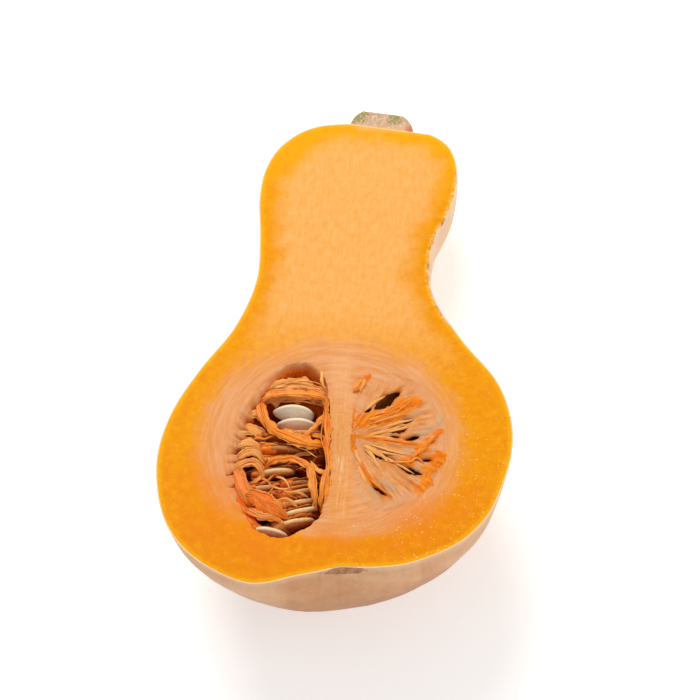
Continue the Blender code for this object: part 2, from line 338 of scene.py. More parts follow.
def tidy_mesh(name, points, faces, masks=None, weld=0.002, sharp=None):
    """A closed mesh with its seams welded and its faces out. masks are numbers per point."""
    mesh = bpy.data.meshes.new(name)
    mesh.from_pydata([tuple(point) for point in points], [], faces)
    for mask_name, values in (masks or {}).items():
        layer = mesh.attributes.new(mask_name, "FLOAT", "POINT")
        layer.data.foreach_set("value", np.asarray(values, np.float32))
    bm = bmesh.new()
    bm.from_mesh(mesh)
    bmesh.ops.remove_doubles(bm, verts=bm.verts, dist=weld)
    bmesh.ops.dissolve_degenerate(bm, edges=bm.edges, dist=weld / 2)
    bmesh.ops.recalc_face_normals(bm, faces=bm.faces)
    if bm.calc_volume(signed=True) < 0:
        bmesh.ops.reverse_faces(bm, faces=bm.faces)
    bm.to_mesh(mesh)
    bm.free()
    mesh.shade_smooth()
    if sharp:
        mesh.set_sharp_from_angle(angle=math.radians(sharp))
    return mesh


def edge_chips(points):
    """How deep the knife broke the cut's edge away down the right side of the neck."""
    spot = points * (1, 1, 0) if points.shape[1] == 3 else np.column_stack([points, points[:, 0] * 0])
    here = (np.clip((points[:, 1] - CHIPPED_FROM - 2) / 14, 0, 1)
            * np.clip((CHIPPED_TO - 2 - points[:, 1]) / 14, 0, 1))
    torn = np.clip(rough(spot, 3.4, 5, 3) + 0.2, 0, 1) + 0.5 * np.clip(rough(spot, 1.1, 6, 2), 0, 1)
    return here * torn * (points[:, 0] > 10) * CHIP_DEPTH


row_places = np.linspace(0, len(STATIONS) - 1, RIND_ROWS)
along_grid, turn_grid = np.meshgrid(row_places, np.linspace(0, 1, RIND_COLUMNS), indexing="ij")
outside = squash_surface(along_grid, turn_grid)
across_step = np.gradient(outside, axis=1)
along_step = np.gradient(outside, axis=0)
outward = np.cross(along_step, across_step)
outward[0] = outward[1].mean(0)
outward[-1] = outward[-2].mean(0)
outward = unit(outward)
if outward[RIND_ROWS // 2, RIND_COLUMNS // 2, 2] > 0:
    outward = -outward
flat_outside = outside.reshape(-1, 3)
away_from_cut = np.clip(-flat_outside[:, 2] / 6, 0, 1)
lumps = (rough(flat_outside, 46, 1) * 0.9 + rough(flat_outside * (1, 0.2, 1), 7, 2, 2) * 0.16
         + rough(flat_outside, 2.6, 3, 2) * 0.035 - 0.5)
outside += outward * (lumps * away_from_cut).reshape(RIND_ROWS, RIND_COLUMNS, 1)
inside = outside - outward * RIND_THICKNESS
for edge in (0, -1):
    inside[:, edge, 2] = -RIND_SET_BACK
right_chips = edge_chips(outside[:, 0])
outside[:, 0, 2] -= right_chips * 0.8
inside[:, 0, 2] -= right_chips
for layer, lift in ((outside, 0.0), (inside, -RIND_THICKNESS)):
    seat = STEM_SEAT - (layer[..., 0] - STEM_MIDDLE.x) * STEM_SLANT + lift
    layer[..., 1] = np.minimum(layer[..., 1], seat)
rind_points = np.concatenate([outside.reshape(-1, 3), inside.reshape(-1, 3)])
inside_start = RIND_ROWS * RIND_COLUMNS
rind_faces = grid_faces(RIND_ROWS, RIND_COLUMNS) + grid_faces(RIND_ROWS, RIND_COLUMNS, inside_start)
for row in range(RIND_ROWS - 1):
    for column in (0, RIND_COLUMNS - 1):
        outer = row * RIND_COLUMNS + column
        inner = outer + inside_start
        rind_faces.append((outer, outer + RIND_COLUMNS, inner + RIND_COLUMNS, inner))
rind = lay_on_cut("rind", tidy_mesh("rind", rind_points, rind_faces, sharp=50))

rind_finish, rind_shader, place, _ = new_finish("beige_rind")
x, y, z = place.split()
mottle = place.noise(0.045, 4.0, 0.6)
fine_mottle = place.noise(0.5, 4.0, 0.65)
streaks = place.stretched(1, 0.12, 1).noise(0.35, 3.0, 0.6)
pleats = (x * 0.16).joined(z * 0.02, y * 0.02).noise(1.0, 3.0, 0.6)
by_blossom = y.rise(-8, -40)
# under: painted shade. The rind is darkened to brown on the bulb's underside toward the blossom end, where
# less light reaches it.
under = z.rise(-10, -34) * y.rise(34, -10)
# Painted light: the rind on the neck's right side is made paler where it is lit.
lit_right_of_neck = y.rise(50, 90) * x.rise(6, 24)
right_of_bulb = y.rise(40, 10) * x.rise(34, 58)
scars = place.noise(0.16, 5.0, 0.75).rise(0.69, 0.74)
scar_spot = (x - 6.6) * (x - 6.6) / 66 + (z + 1.7) * (z + 1.7) / 4.5
scar_edge = scar_spot + (place.noise(0.5, 5.0, 0.75) - 0.5) * 3.0
blossom_scar = scar_edge.rise(1.1, 0.6) * y.rise(-30, -40)
scar_bark = layered("96552C", ("C08A5E", fine_mottle.rise(0.4, 0.6)),
                    ("7E4422", scar_edge.rise(0.5, 0.95)))
knife_line = z.rise(-0.3, -0.03)
below_cut = z.rise(-4, -0.4) * (1 - blossom_scar)
skin = layered("D4986A", ("E6B48A", mottle.rise(0.3, 0.7)),
               ("EEC8A4", fine_mottle.rise(0.5, 0.8) * 0.35),
               ("C4885A", streaks.rise(0.55, 0.8) * 0.45),
               ("9C5E34", under * 0.7), ("EFD2B2", lit_right_of_neck * 0.5),
               ("BE9168", right_of_bulb * 0.45),
               ("A86A40", pleats.rise(0.46, 0.74) * by_blossom * 0.28),
               ("9A6236", scars * 0.6), (scar_bark, blossom_scar * 0.85),
               ("F0D4B0", below_cut * 0.35), ("F6CE80", knife_line * 0.6))
connect(rind_shader, skin, 0.42 + fine_mottle * 0.16,
        fine_mottle * 0.4 + streaks * 0.5 + blossom_scar * 0.8 - pleats * by_blossom * 1.5, bump=0.12)
set_all_over(rind_shader, {"Specular IOR Level": 0.35, "Specular Tint": tint("FFE0C0")})
rind.data.materials.append(rind_finish)

# THE FLESH
# One solid piece, cut flat, firm and finely fibrous, paler down the neck and round the seeds.
# The open hollow on the left was pulled half empty; the one on the right is still veiled by pulp.
OPEN_HOLLOW = [(-16.5, 40.5), (-24.5, 36), (-31, 26), (-36.5, 15), (-39.5, 1), (-39, -10),
               (-36, -19), (-30.5, -27), (-27, -32), (-19, -35.5), (-10, -32.5), (-3.6, -25),
               (-1.5, -12), (-2.4, 6), (-4.4, 24), (-8, 36)]
OPEN_HOLLOW_CENTRE = (-18, 3)
OPEN_HOLLOW_DEPTH = 26.5
VEILED_HOLLOW = [(8, 34), (6, 22), (6.5, 4), (8.5, -13), (15, -22), (27, -19), (36, -9),
                 (39.5, 6), (37.5, 20), (30, 31), (18, 36.5)]
VEILED_HOLLOW_CENTRE = (21, 8)
VEILED_HOLLOW_DEPTH = 15.5
WALL_POWER = 3.5
PITH_MIDDLE = (-0.5, 5.5)
PITH_RADIUS = 44
LEDGE_WIDTH = 5.2
LEDGE_DEPTH = 4.2
SCALLOP = 5.4
FINE_SPACING = 0.7
COARSE_SPACING = 2.6
OPEN_RIM_POINTS = 300
VEILED_RIM_POINTS = 200
OPEN_RINGS = 46
VEILED_RINGS = 16


def closed_rim(outline, count, fray, seed):
    """Points round a closed outline, made ragged by a few tenths of a millimetre."""
    rim = along_curve(outline, np.arange(count) / count * len(outline), closed=True)
    flat = np.column_stack([rim, np.zeros(count)])
    inward = unit(np.mean(rim, 0) - rim)
    return rim + inward * (rough(flat, 3.2, seed) * fray)[:, None]


def is_inside(points, loop):
    """Which 2D points lie inside a closed loop, by counting crossings."""
    px, py = points[:, 0:1], points[:, 1:2]
    ax, ay = loop[:, 0], loop[:, 1]
    bx, by = np.roll(ax, -1), np.roll(ay, -1)
    spans = (ay > py) != (by > py)
    height = np.where(np.abs(by - ay) < 1e-9, 1e-9, by - ay)
    crossing = (bx - ax) * (py - ay) / height + ax
    return (spans & (px < crossing)).sum(1) % 2 == 1


def distance_to(points, loop):
    """Distance in mm from each 2D point to the nearest of a loop's (closely set) points."""
    best = np.full(len(points), 1e9)
    for start in range(0, len(loop), 64):
        part = loop[start:start + 64]
        gap = np.hypot(points[:, 0:1] - part[:, 0], points[:, 1:2] - part[:, 1])
        best = np.minimum(best, gap.min(1))
    return best


def from_pith_middle(points):
    """Distance in mm from the middle of the ring of pith round both hollows."""
    return np.hypot(*(points - np.array(PITH_MIDDLE)).T)


def scatter(low, high, spacing):
    """A triangular lattice of 2D points over a box."""
    rows = np.arange(low[1], high[1], spacing * 0.87)
    points = [(x + (index % 2) * spacing / 2, y)
              for index, y in enumerate(rows) for x in np.arange(low[0], high[0], spacing)]
    return np.array(points)


def filled(outline, holes, loose, clear_of_outline, clear_of_holes):
    """Triangles between a closed outline and its holes, over the loose points that lie there."""
    keep = is_inside(loose, outline) & (distance_to(loose, outline) > clear_of_outline)
    for hole in holes:
        keep &= ~is_inside(loose, hole) & (distance_to(loose, hole) > clear_of_holes)
    edges = []
    start = 0
    for loop in (outline, *holes):
        count = len(loop)
        edges += [(start + i, start + (i + 1) % count) for i in range(count)]
        start += count
    points = np.concatenate([outline, *holes, loose[keep]])
    done = delaunay_2d_cdt([Vector(point) for point in points], edges, [], 0, 1e-5, True)
    points = np.array([tuple(point) for point in done[0]])
    triangles = np.array(done[2])
    middles = points[triangles].mean(1)
    solid = is_inside(middles, outline)
    for hole in holes:
        solid &= ~is_inside(middles, hole)
    return points, triangles[solid]


right_edge = inside[:, 0, :2]
left_edge = inside[:, -1, :2]
cut_outline = np.concatenate([right_edge, left_edge[-2:0:-1]])
open_rim = closed_rim(OPEN_HOLLOW, OPEN_RIM_POINTS, 0.7, 11)
veiled_rim = closed_rim(VEILED_HOLLOW, VEILED_RIM_POINTS, 0.3, 12)
fine = scatter((-46, -40), (45, 51), FINE_SPACING)
fine = fine[from_pith_middle(fine) < PITH_RADIUS]
coarse = scatter((-66, -56), (66, 160), COARSE_SPACING)
coarse = coarse[from_pith_middle(coarse) > PITH_RADIUS + 1]
neck_edge = scatter((18, CHIPPED_FROM), (40, CHIPPED_TO), FINE_SPACING)
neck_edge = neck_edge[distance_to(neck_edge, right_edge) < 3.2]
coarse = coarse[(distance_to(coarse, right_edge) > 4) | (coarse[:, 1] < CHIPPED_FROM)
                | (coarse[:, 1] > CHIPPED_TO)]
flat_points, triangles = filled(cut_outline, (open_rim, veiled_rim),
                                np.concatenate([fine, coarse, neck_edge]), 0.6, 0.4)


def cut_relief(points):
    """How far the cut stands off true: soft knife marks, and stringy ridges round the seeds."""
    x, y = points[:, 0], points[:, 1]
    from_pith = from_pith_middle(points)
    pith = np.clip((PITH_RADIUS - 2 - from_pith) / 8, 0, 1)
    spot = np.column_stack([points, np.zeros(len(points))])
    wall = np.exp(-((x - 1.8 + 0.074 * y) / 4.0) ** 2) * np.clip((47 - y) / 10, 0, 1)
    upright = rough(spot * (1, 0.14, 1), 1.5, 21, 3) * 0.2
    heading = (points - np.array(PITH_MIDDLE)) / (from_pith[:, None] + 1e-6)
    rings = rough(np.column_stack([heading * 7, from_pith * 0.9]), 1.0, 22) * 0.2
    near_open = np.exp(-distance_to(points, open_rim) / 1.6)
    near_veil = np.clip(1 - distance_to(points, veiled_rim) / 3, 0, 1)
    near_edge = distance_to(points, cut_outline)
    edge = np.clip(near_edge / 2, 0, 1)
    return (edge * (rough(spot, 30, 23, 2) * 0.12 + pith * (wall * upright + (1 - wall) * rings))
            - near_open * (0.5 + 0.5 * np.abs(rough(spot, 1.6, 24))) - near_veil ** 2 * 0.42
            - edge_chips(points) * np.exp(-near_edge / 1.1))


def bowl(rim, rim_heights, centre, depth, rings, shove):
    """Rings from a ragged rim down to near the floor of a hollow, with a shove(points, share)
    that moves its wall in."""
    layers = []
    for ring in range(1, rings):
        share = ring / rings
        bend = share ** 1.6 * math.pi / 2
        spread = math.cos(bend) ** (2 / WALL_POWER)
        drop = math.sin(bend) ** (2 / WALL_POWER)
        flat = np.array(centre) + (rim - centre) * spread
        keep_rim = math.exp(-share * 6)
        layer = np.column_stack([flat, -drop * depth + rim_heights * keep_rim])
        layers.append(shove(layer, share))
    return layers


def open_wall(layer, _):
    """The open hollow's wall: smooth and sloping under the neck, and on the left a torn ledge of
    scallops where the seeds' pockets came away. How far down a ring lies is read from its depth."""
    arm = layer[:, :2] - np.array(OPEN_HOLLOW_CENTRE)
    length = np.linalg.norm(arm, axis=1) + 1e-6
    heading = np.degrees(np.arctan2(arm[:, 1], arm[:, 0])) % 360
    left = np.exp(-((heading - 180) / 60) ** 4)
    under_neck = np.exp(-((heading - 98) / 38) ** 4)
    drop = -layer[:, 2]
    round_rim = layer[:, 1] + 4 * rough(layer * (0.1, 1, 0), 3, 34, 1)
    lobe = np.abs(np.sin(round_rim * math.pi / SCALLOP)) ** 0.6
    down = np.clip(drop / LEDGE_DEPTH, 0, 1)
    lumps = rough(layer * (1, 1, 0.6), 3.0, 31, 3)
    ledge = left * (LEDGE_WIDTH * down ** 0.6 * (0.55 + 0.6 * lobe) + 1.6 * lumps * down)
    slope = under_neck * 3.2 * np.clip(drop / 9, 0, 1)
    ripple = 0.45 * rough(layer * (1, 1, 0.35), 2.2, 32, 2) * np.clip(drop / 3, 0, 1)
    move = np.minimum(ledge + slope + ripple * (1 - under_neck * 0.8), length * 0.4)
    layer[:, :2] -= arm / length[:, None] * move[:, None]
    crevice = left * (1 - lobe) * np.exp(-((drop - 2.4) / 2.4) ** 2)
    layer[:, 2] -= crevice * 3.0 + left * rough(layer, 1.3, 35, 2) * 0.5 * down
    return layer


def veiled_wall(layer, share):
    """The veiled hollow's wall, drawn in a little and lumpy below its rim."""
    layer[:, :2] += (np.array(VEILED_HOLLOW_CENTRE) - layer[:, :2]) * 0.03
    layer[:, 2] += rough(layer, 4, 33) * 0.6 * min(1, share * 4)
    return layer


heights = cut_relief(flat_points)
on_outline = distance_to(flat_points, cut_outline) < 1e-4
heights[on_outline] = -edge_chips(flat_points[on_outline])
cap_points = np.column_stack([flat_points, heights])
flesh_points = [cap_points]
flesh_faces = [tuple(triangle) for triangle in triangles]
count = len(cap_points)
below = inside.copy()
below[:, 0, 2] = -edge_chips(right_edge)
below[:, -1, 2] = 0
flesh_points.append(below.reshape(-1, 3))
flesh_faces += grid_faces(RIND_ROWS, RIND_COLUMNS, count)
count += RIND_ROWS * RIND_COLUMNS
for rim, centre, depth, rings, shove in (
        (open_rim, OPEN_HOLLOW_CENTRE, OPEN_HOLLOW_DEPTH, OPEN_RINGS, open_wall),
        (veiled_rim, VEILED_HOLLOW_CENTRE, VEILED_HOLLOW_DEPTH, VEILED_RINGS, veiled_wall)):
    rim_heights = cut_relief(rim)
    layers = [np.column_stack([rim, rim_heights])]
    layers += bowl(rim, rim_heights, centre, depth, rings, shove)
    size = len(rim)
    floor_point = np.array([[*centre, -depth]])
    flesh_points += [*layers, floor_point]
    flesh_faces += grid_faces(len(layers), size, count, closed=True)
    last = count + (len(layers) - 1) * size
    end = count + len(layers) * size
    flesh_faces += [(last + i, last + (i + 1) % size, end) for i in range(size)]
    count = end + 1
flesh_points = np.concatenate(flesh_points)
to_rind = distance_to(flesh_points[:, :2], cut_outline)
to_hollow = np.minimum(distance_to(flesh_points[:, :2], open_rim),
                       distance_to(flesh_points[:, :2], veiled_rim))
flesh_mesh = tidy_mesh("flesh", flesh_points, flesh_faces,
                       {"to_rind": to_rind, "to_hollow": to_hollow}, weld=0.001, sharp=45)
flesh = lay_on_cut("flesh", flesh_mesh)
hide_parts("squash_half")


def spokes(place, middle, around, outward):
    """Noise places for fibres that radiate from a middle point: around stretches them across,
    outward lengthwise."""
    x, y, _ = place.split()
    x = x - middle[0]
    y = y - middle[1]
    reach = (x * x + y * y) ** 0.5
    return (x / reach * around).joined(y / reach * around, reach * outward)


flesh_finish, flesh_shader, place, (to_rind, to_hollow) = new_finish(
    "cut_flesh", ("to_rind", "to_hollow"))
x, y, z = place.split()
cloud = place.noise(0.09, 3.0, 0.6)
grain = place.noise(0.9, 4.0, 0.7)
speck = spokes(place, (0, 5), 36, 0.8).noise(1.5, 2.0, 0.5)
radial = spokes(place, PITH_MIDDLE, 22, 0.3).noise(1.0, 4.0, 0.7)
fibre = place.stretched(1, 0.22, 1).noise(0.8, 4.0, 0.65)
mottled = (place.noise(0.3, 5.0, 0.65) * 0.6 + place.noise(1.6, 3.0, 0.6) * 0.4).rise(0.34, 0.66)
low_golden = paint_over("EC9009", "E17E05", mottled)
golden = layered("E48A04", ("EC9A06", mottled), (low_golden, y.rise(6, -42) * 0.9),
                 ("F4AC08", y.rise(100, 150) * 0.6), ("F8B210", to_rind.rise(2.2, 0.4) * 0.6))
pale = layered("ECA34F", ("EFB064", fibre.rise(0.3, 0.7)), ("F2B874", mottled * 0.3))
neck_pale = (to_rind + (cloud - 0.5) * 14 - x.rise(0, -24) * y.rise(105, 145) * 4)
neck_pale = neck_pale.rise(2, 12.5) * y.rise(30, 70)
neck_pale = neck_pale * (0.8 + mottled * 0.2)
freckles = place.noise(0.22, 4.0, 0.7).rise(0.52, 0.64) * (1 - neck_pale)
on_bulb = y.rise(74, 44)
from_pith = ((x - PITH_MIDDLE[0]) ** 2.0 + (y - PITH_MIDDLE[1]) ** 2.0) ** 0.5
rings = spokes(place, PITH_MIDDLE, 6, 1.5).noise(0.6, 4.0, 0.65)
pith_colour = paint_over("E5A676", "DB8E54", rings.rise(0.3, 0.7))
pith_edge = from_pith + (cloud - 0.5) * 11 + (mottled - 0.5) * 3 - x.rise(-24, -44) * 4.5
pith_edge = pith_edge + y.rise(-26, -40) * 9
wall_side = x + y * 0.074 - 1.8 + (grain - 0.5) * 2.5
wall = (wall_side * wall_side).rise(30, 0) * y.rise(52, 36) * y.rise(-40, -28)
strings = place.stretched(1, 0.05, 1).noise(1.3, 4.0, 0.7, 0.5)
broken = place.noise(0.22, 3.0, 0.6)
wall_colour = layered("E28C38", ("EBAA66", strings.rise(0.36, 0.66)),
                      ("EEB684", y.rise(14, 34) * 0.7), ("E9963A", y.rise(20, -25) * 0.5))
near_middle = (wall_side * wall_side).rise(7, 1) * y.rise(46, 38) * y.rise(-38, -26)
white_streaks = strings.rise(0.5, 0.66) * near_middle * (cloud * 0.5 + broken * 0.5).rise(0.44, 0.6)
deep = z.rise(-0.6, -4.6)
dome_skin = paint_over("FF8A2C", "F0620A", strings.rise(0.4, 0.6))
# The hollow's wall below the cut is partly its own deeper orange and partly painted shade. A dark red-brown
# is laid on as the wall goes down from the cut.
hollow_wall_with_shade = layered("9C3002", ("D4520A", grain), (dome_skin, y.rise(24, 31) * 0.9))
blush = place.noise(0.05, 3.0, 0.6).rise(0.34, 0.6) * y.rise(4, -26) * to_rind.rise(2, 10)
blush = blush * from_pith.rise(30, 46)
wetter = (cloud * 0.6 + x.rise(-10, 40) * y.rise(40, -20) * 0.25).rise(0.3, 0.5)
chipped = to_rind.rise(1.6, 0.4) * x.rise(14, 22) * y.rise(56, 66) * y.rise(136, 126)
seat = ((x - STEM_MIDDLE.x) * (x - STEM_MIDDLE.x)).rise(140, 40) * y.rise(152.6, 156)
colour = layered(golden, (pale, neck_pale), ("E58410", freckles * 0.35),
                 ("F5AA20", radial.rise(0.52, 0.66) * on_bulb * 0.35),
                 ("E27A08", radial.rise(0.48, 0.34) * on_bulb * 0.3),
                 (pith_colour, pith_edge.rise(51, 39) * 0.95),
                 (wall_colour, wall * (0.2 + broken * 0.6)),
                 ("F5D8B4", white_streaks * 0.6), (hollow_wall_with_shade, deep),
                 ("E97A18", blush * (0.4 + mottled * 0.4) * deep.rise(1, 0)),
                 ("FFE2B0", speck.rise(0.67, 0.73) * wetter * 0.65),
                 ("FBE6C0", chipped * grain.rise(0.5, 0.62) * 0.85),
                 ("EDB474", seat * (0.2 + mottled * 0.5)))
connect(flesh_shader, colour, 0.38 + grain * 0.25,
        grain * 0.35 + fibre * 0.3 + speck * 0.25 + strings * wall * 0.6 + rings * 0.3, bump=0.28)
set_all_over(flesh_shader, {"Specular IOR Level": 0.3, "Specular Tint": tint("FFB838"),
                            "Subsurface Weight": 0.12, "Subsurface Radius": (1.0, 0.45, 0.15),
                            "Subsurface Scale": 0.003})
flesh.data.materials.append(flesh_finish)

# THE VEIL OVER THE RIGHT HOLLOW
# Pale fibrous pulp that still bridges the second hollow, level with the cut. Its threads fan out
# from the wall between the hollows, and it has torn into slits that show the seeds lying below.
FAN_MIDDLE = (4.5, 8.5)
VEIL_SPACING = 0.55
VEIL_OVERLAP = 1.4
VEIL_THICKNESS = 0.6
RUN_POINTS = 60
SLIT_POINTS = 19
SLITS = [
    ((12.4, 21.0), (21.6, 29.2), 4.2),
    ((9.2, 19.6), (11.6, 21.4), 1.3),
    ((18.6, 12.0), (25.0, 12.9), 2.7),
    ((18.2, 9.0), (22.6, 9.3), 1.3),
    ((24.6, 8.3), (29.8, 9.9), 1.9),
    ((23.2, 15.8), (26.6, 17.0), 1.2),
    ((11.0, 2.7), (21.8, -1.3), 2.3),
    ((31.4, 0.1), (34.8, -0.3), 1.0),
    ((23.6, -3.6), (31.6, -6.4), 2.1),
    ((14.2, -12.2), (19.4, -16.0), 0.9),
]
VIVID_RUNS = [
    ([(8.8, 15.0), (14, 17), (18, 18.8), (22.8, 21.5), (26.5, 25)], 3.4),
    ([(6, 8.7), (17, 7.7), (26, 6.6), (32, 6.9), (38, 13)], 1.1),
    ([(37.5, 12.5), (34, 8), (31, 4), (28.5, 1), (26, -1.5)], 1.8),
    ([(38, 2), (36, -2), (33.5, -7), (32, -12.5)], 2.6),
    ([(4.5, 28.5), (7, 31.5), (8.3, 35)], 1.6),
    ([(9, -2.5), (14, -11), (21, -16.5)], 0.8),
    ([(4.2, 27), (4.6, 19), (4.4, 12), (5.8, 3)], 1.5),
]
SEEN_SEEDS = [((26.6, 19.3), 35, 3.6), ((33, 13), 25, 3.4), ((37, 17), 60, 2.2), ((26.6, 2.8), -8, 2.6),
              ((28.8, -4.6), -22, 3.6), ((19.8, -11.9), -40, 3.0), ((14.7, -15.4), -55, 2.6),
              ((30.4, 11), 15, 3.0)]


def fan_noise(points, spread, reach, size, seed):
    """Noise stretched along threads that fan out from the wall."""
    away = points - np.array(FAN_MIDDLE)
    length = np.linalg.norm(away, axis=1)
    heading = away / (length[:, None] + 1e-6) * spread
    return rough(np.column_stack([heading, length * reach]), size, seed)


def run_mask(points, runs):
    """1 on any of the curves in runs, falling to 0 at each one's own half width."""
    mask = np.zeros(len(points))
    for route, half_width in runs:
        line = along_curve(route, np.linspace(0, len(route) - 1, RUN_POINTS))
        away = distance_to(points, line) / half_width + fan_noise(points, 12, 0.14, 1.0, 54) * 0.9
        mask = np.maximum(mask, np.clip(1.7 - away * 1.3, 0, 1))
    return mask


def seed_mask(points):
    """1 where a seed's pale face shows through the veil."""
    mask = np.zeros(len(points))
    for middle, heading, half_width in SEEN_SEEDS:
        turn = math.radians(heading)
        away = points - np.array(middle)
        long_way = (away[:, 0] * math.cos(turn) + away[:, 1] * math.sin(turn)) / half_width / 1.7
        short_way = (away[:, 1] * math.cos(turn) - away[:, 0] * math.sin(turn)) / half_width * 1.6
        mask = np.maximum(mask, np.clip(1.5 - 1.4 * np.hypot(long_way, short_way), 0, 1))
    return mask


def slit_loop(start, end, width, seed):
    """A torn slit: a pointed loop with a wavering edge."""
    start, end = np.array(start), np.array(end)
    run = end - start
    side = np.array([-run[1], run[0]]) / np.linalg.norm(run)
    share = np.linspace(0, 1, SLIT_POINTS)
    bulge = np.sin(share * math.pi) ** 0.8 * width / 2
    path = start + run * share[:, None]
    flat = np.column_stack([path, np.zeros(len(path))])
    upper = path + side * (bulge * (1 + 0.5 * rough(flat, 1.8, seed)))[:, None]
    lower = path - side * (bulge * (1 + 0.5 * rough(flat, 1.8, seed + 1)))[:, None]
    return np.concatenate([upper, lower[-2:0:-1]])


veil_rim = veiled_rim + unit(veiled_rim - np.array(VEILED_HOLLOW_CENTRE)) * VEIL_OVERLAP
slits = [slit_loop(*slit, 40 + 2 * index) for index, slit in enumerate(SLITS)]
veil_points, veil_triangles = filled(
    veil_rim, slits, scatter(veil_rim.min(0), veil_rim.max(0), VEIL_SPACING), 0.35, 0.2)
vivid = run_mask(veil_points, VIVID_RUNS)
seen = seed_mask(veil_points) * (1 - vivid)
from_slit = distance_to(veil_points, np.concatenate(slits))
from_rim = distance_to(veil_points, veil_rim)
strings = fan_noise(veil_points, 16, 0.09, 1.0, 51)
outer_turn = rough(np.column_stack([(veil_points - np.array(PITH_MIDDLE)) * 0.16,
                                    from_pith_middle(veil_points)]), 1.3, 53)
outer = np.clip(1 - from_rim / 8, 0, 1)
veil_top = (-0.1 + (strings * 0.45 + fan_noise(veil_points, 5, 0.12, 1.0, 52) * 0.6) * (1 - outer)
            + outer_turn * 0.3 * outer + vivid * (0.45 + strings * 0.5) + seen * 0.3
            - np.exp(-from_slit / 0.6) * 0.8 - np.clip(1 - from_rim / 4, 0, 1) ** 1.5 * 0.55)


def thicken(points, top, triangles, thickness):
    """A closed sheet: its top, the same surface a thickness lower, and the edges between."""
    count = len(points)
    upper = np.column_stack([points, top])
    lower = np.column_stack([points, top - thickness])
    used = {}
    for a, b, c in triangles:
        for edge in ((a, b), (b, c), (c, a)):
            key = tuple(sorted(edge))
            used[key] = None if key in used else edge
    sides = [(b, a, a + count, b + count) for a, b in filter(None, used.values())]
    faces = [tuple(t) for t in triangles] + [tuple(t[::-1] + count) for t in triangles] + sides
    return np.concatenate([upper, lower]), faces


sheet, sheet_faces = thicken(veil_points, veil_top, veil_triangles, VEIL_THICKNESS)
veil_masks = {"vivid": np.tile(vivid, 2), "seen_seed": np.tile(seen, 2),
              "torn_edge": np.tile(np.exp(-from_slit / 0.5), 2),
              "veil_edge": np.tile(outer, 2)}
veil = lay_on_cut("pulp_sheet", tidy_mesh("pulp_sheet", sheet, sheet_faces, veil_masks))
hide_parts("pulp_veil")

veil_finish, veil_shader, place, masks = new_finish(
    "pale_pulp_veil", ("vivid", "seen_seed", "torn_edge", "veil_edge"))
vivid_mask, seen_mask, slit_shade_mask, edge_mask = masks
threads = spokes(place, FAN_MIDDLE, 13, 0.07).noise(1.3, 4.0, 0.7)
fine_threads = spokes(place, FAN_MIDDLE, 34, 0.12).noise(1.3, 3.0, 0.6)
turning = spokes(place, PITH_MIDDLE, 6, 1.5).noise(0.6, 4.0, 0.65)
golden_patches = place.noise(0.16, 3.0, 0.6).rise(0.5, 0.66)
fan_colour = layered("C8702C", ("E4A06A", threads.rise(0.32, 0.62)), ("E08028", golden_patches * 0.6),
                     ("EDBE8E", fine_threads.rise(0.58, 0.74) * 0.6))
outer_colour = paint_over("E5A676", "DB8E54", turning.rise(0.3, 0.7))
vivid_colour = paint_over("F8921A", "E66C08", threads.rise(0.4, 0.65))
# Round the slits the veil is made darker brown: painted shade where it dips into the dark hollow below.
colour = layered(fan_colour, (outer_colour, edge_mask.rise(0.05, 0.75)),
                 ("BC9C78", seen_mask * (0.3 + fine_threads * 0.6)),
                 (vivid_colour, vivid_mask.rise(0.1, 0.8)), ("A8501C", slit_shade_mask * 0.5))
connect(veil_shader, colour, 0.3 + threads * 0.3, threads * 0.8 + fine_threads * 0.5, bump=0.25)
set_all_over(veil_shader, {"Specular IOR Level": 0.3, "Specular Tint": tint("FFC080"),
                           "Subsurface Weight": 0.12, "Subsurface Radius": (1.0, 0.4, 0.12),
                           "Subsurface Scale": 0.003})
veil.data.materials.append(veil_finish)

# THE THREADS AND SKINS OF PULP
# Wet strings and torn skins that held the seeds, drawn out when the hollow was half emptied:
# a curtain and a flap across the open hollow, cords down its sides, sleeves round the seeds,
# and a fan of raised strings on the veil. Each is a flattened, tapering, ragged closed strip.
STRIP_STEP = 0.55
THREADS = 90
THREAD_STEP = 2.6
THREAD_OVAL = (15.5, 34)
VEIL_THREADS = 20


def merged(strips):
    """Several strips as one."""
    points, faces, start = [], [], 0
    for strip_points, strip_faces, _ in strips:
        faces += [tuple(start + corner for corner in face) for face in strip_faces]
        points.append(strip_points)
        start += len(strip_points)
    masks = {key: np.concatenate([made[2][key] for made in strips]) for key in strips[0][2]}
    return np.concatenate(points), faces, masks


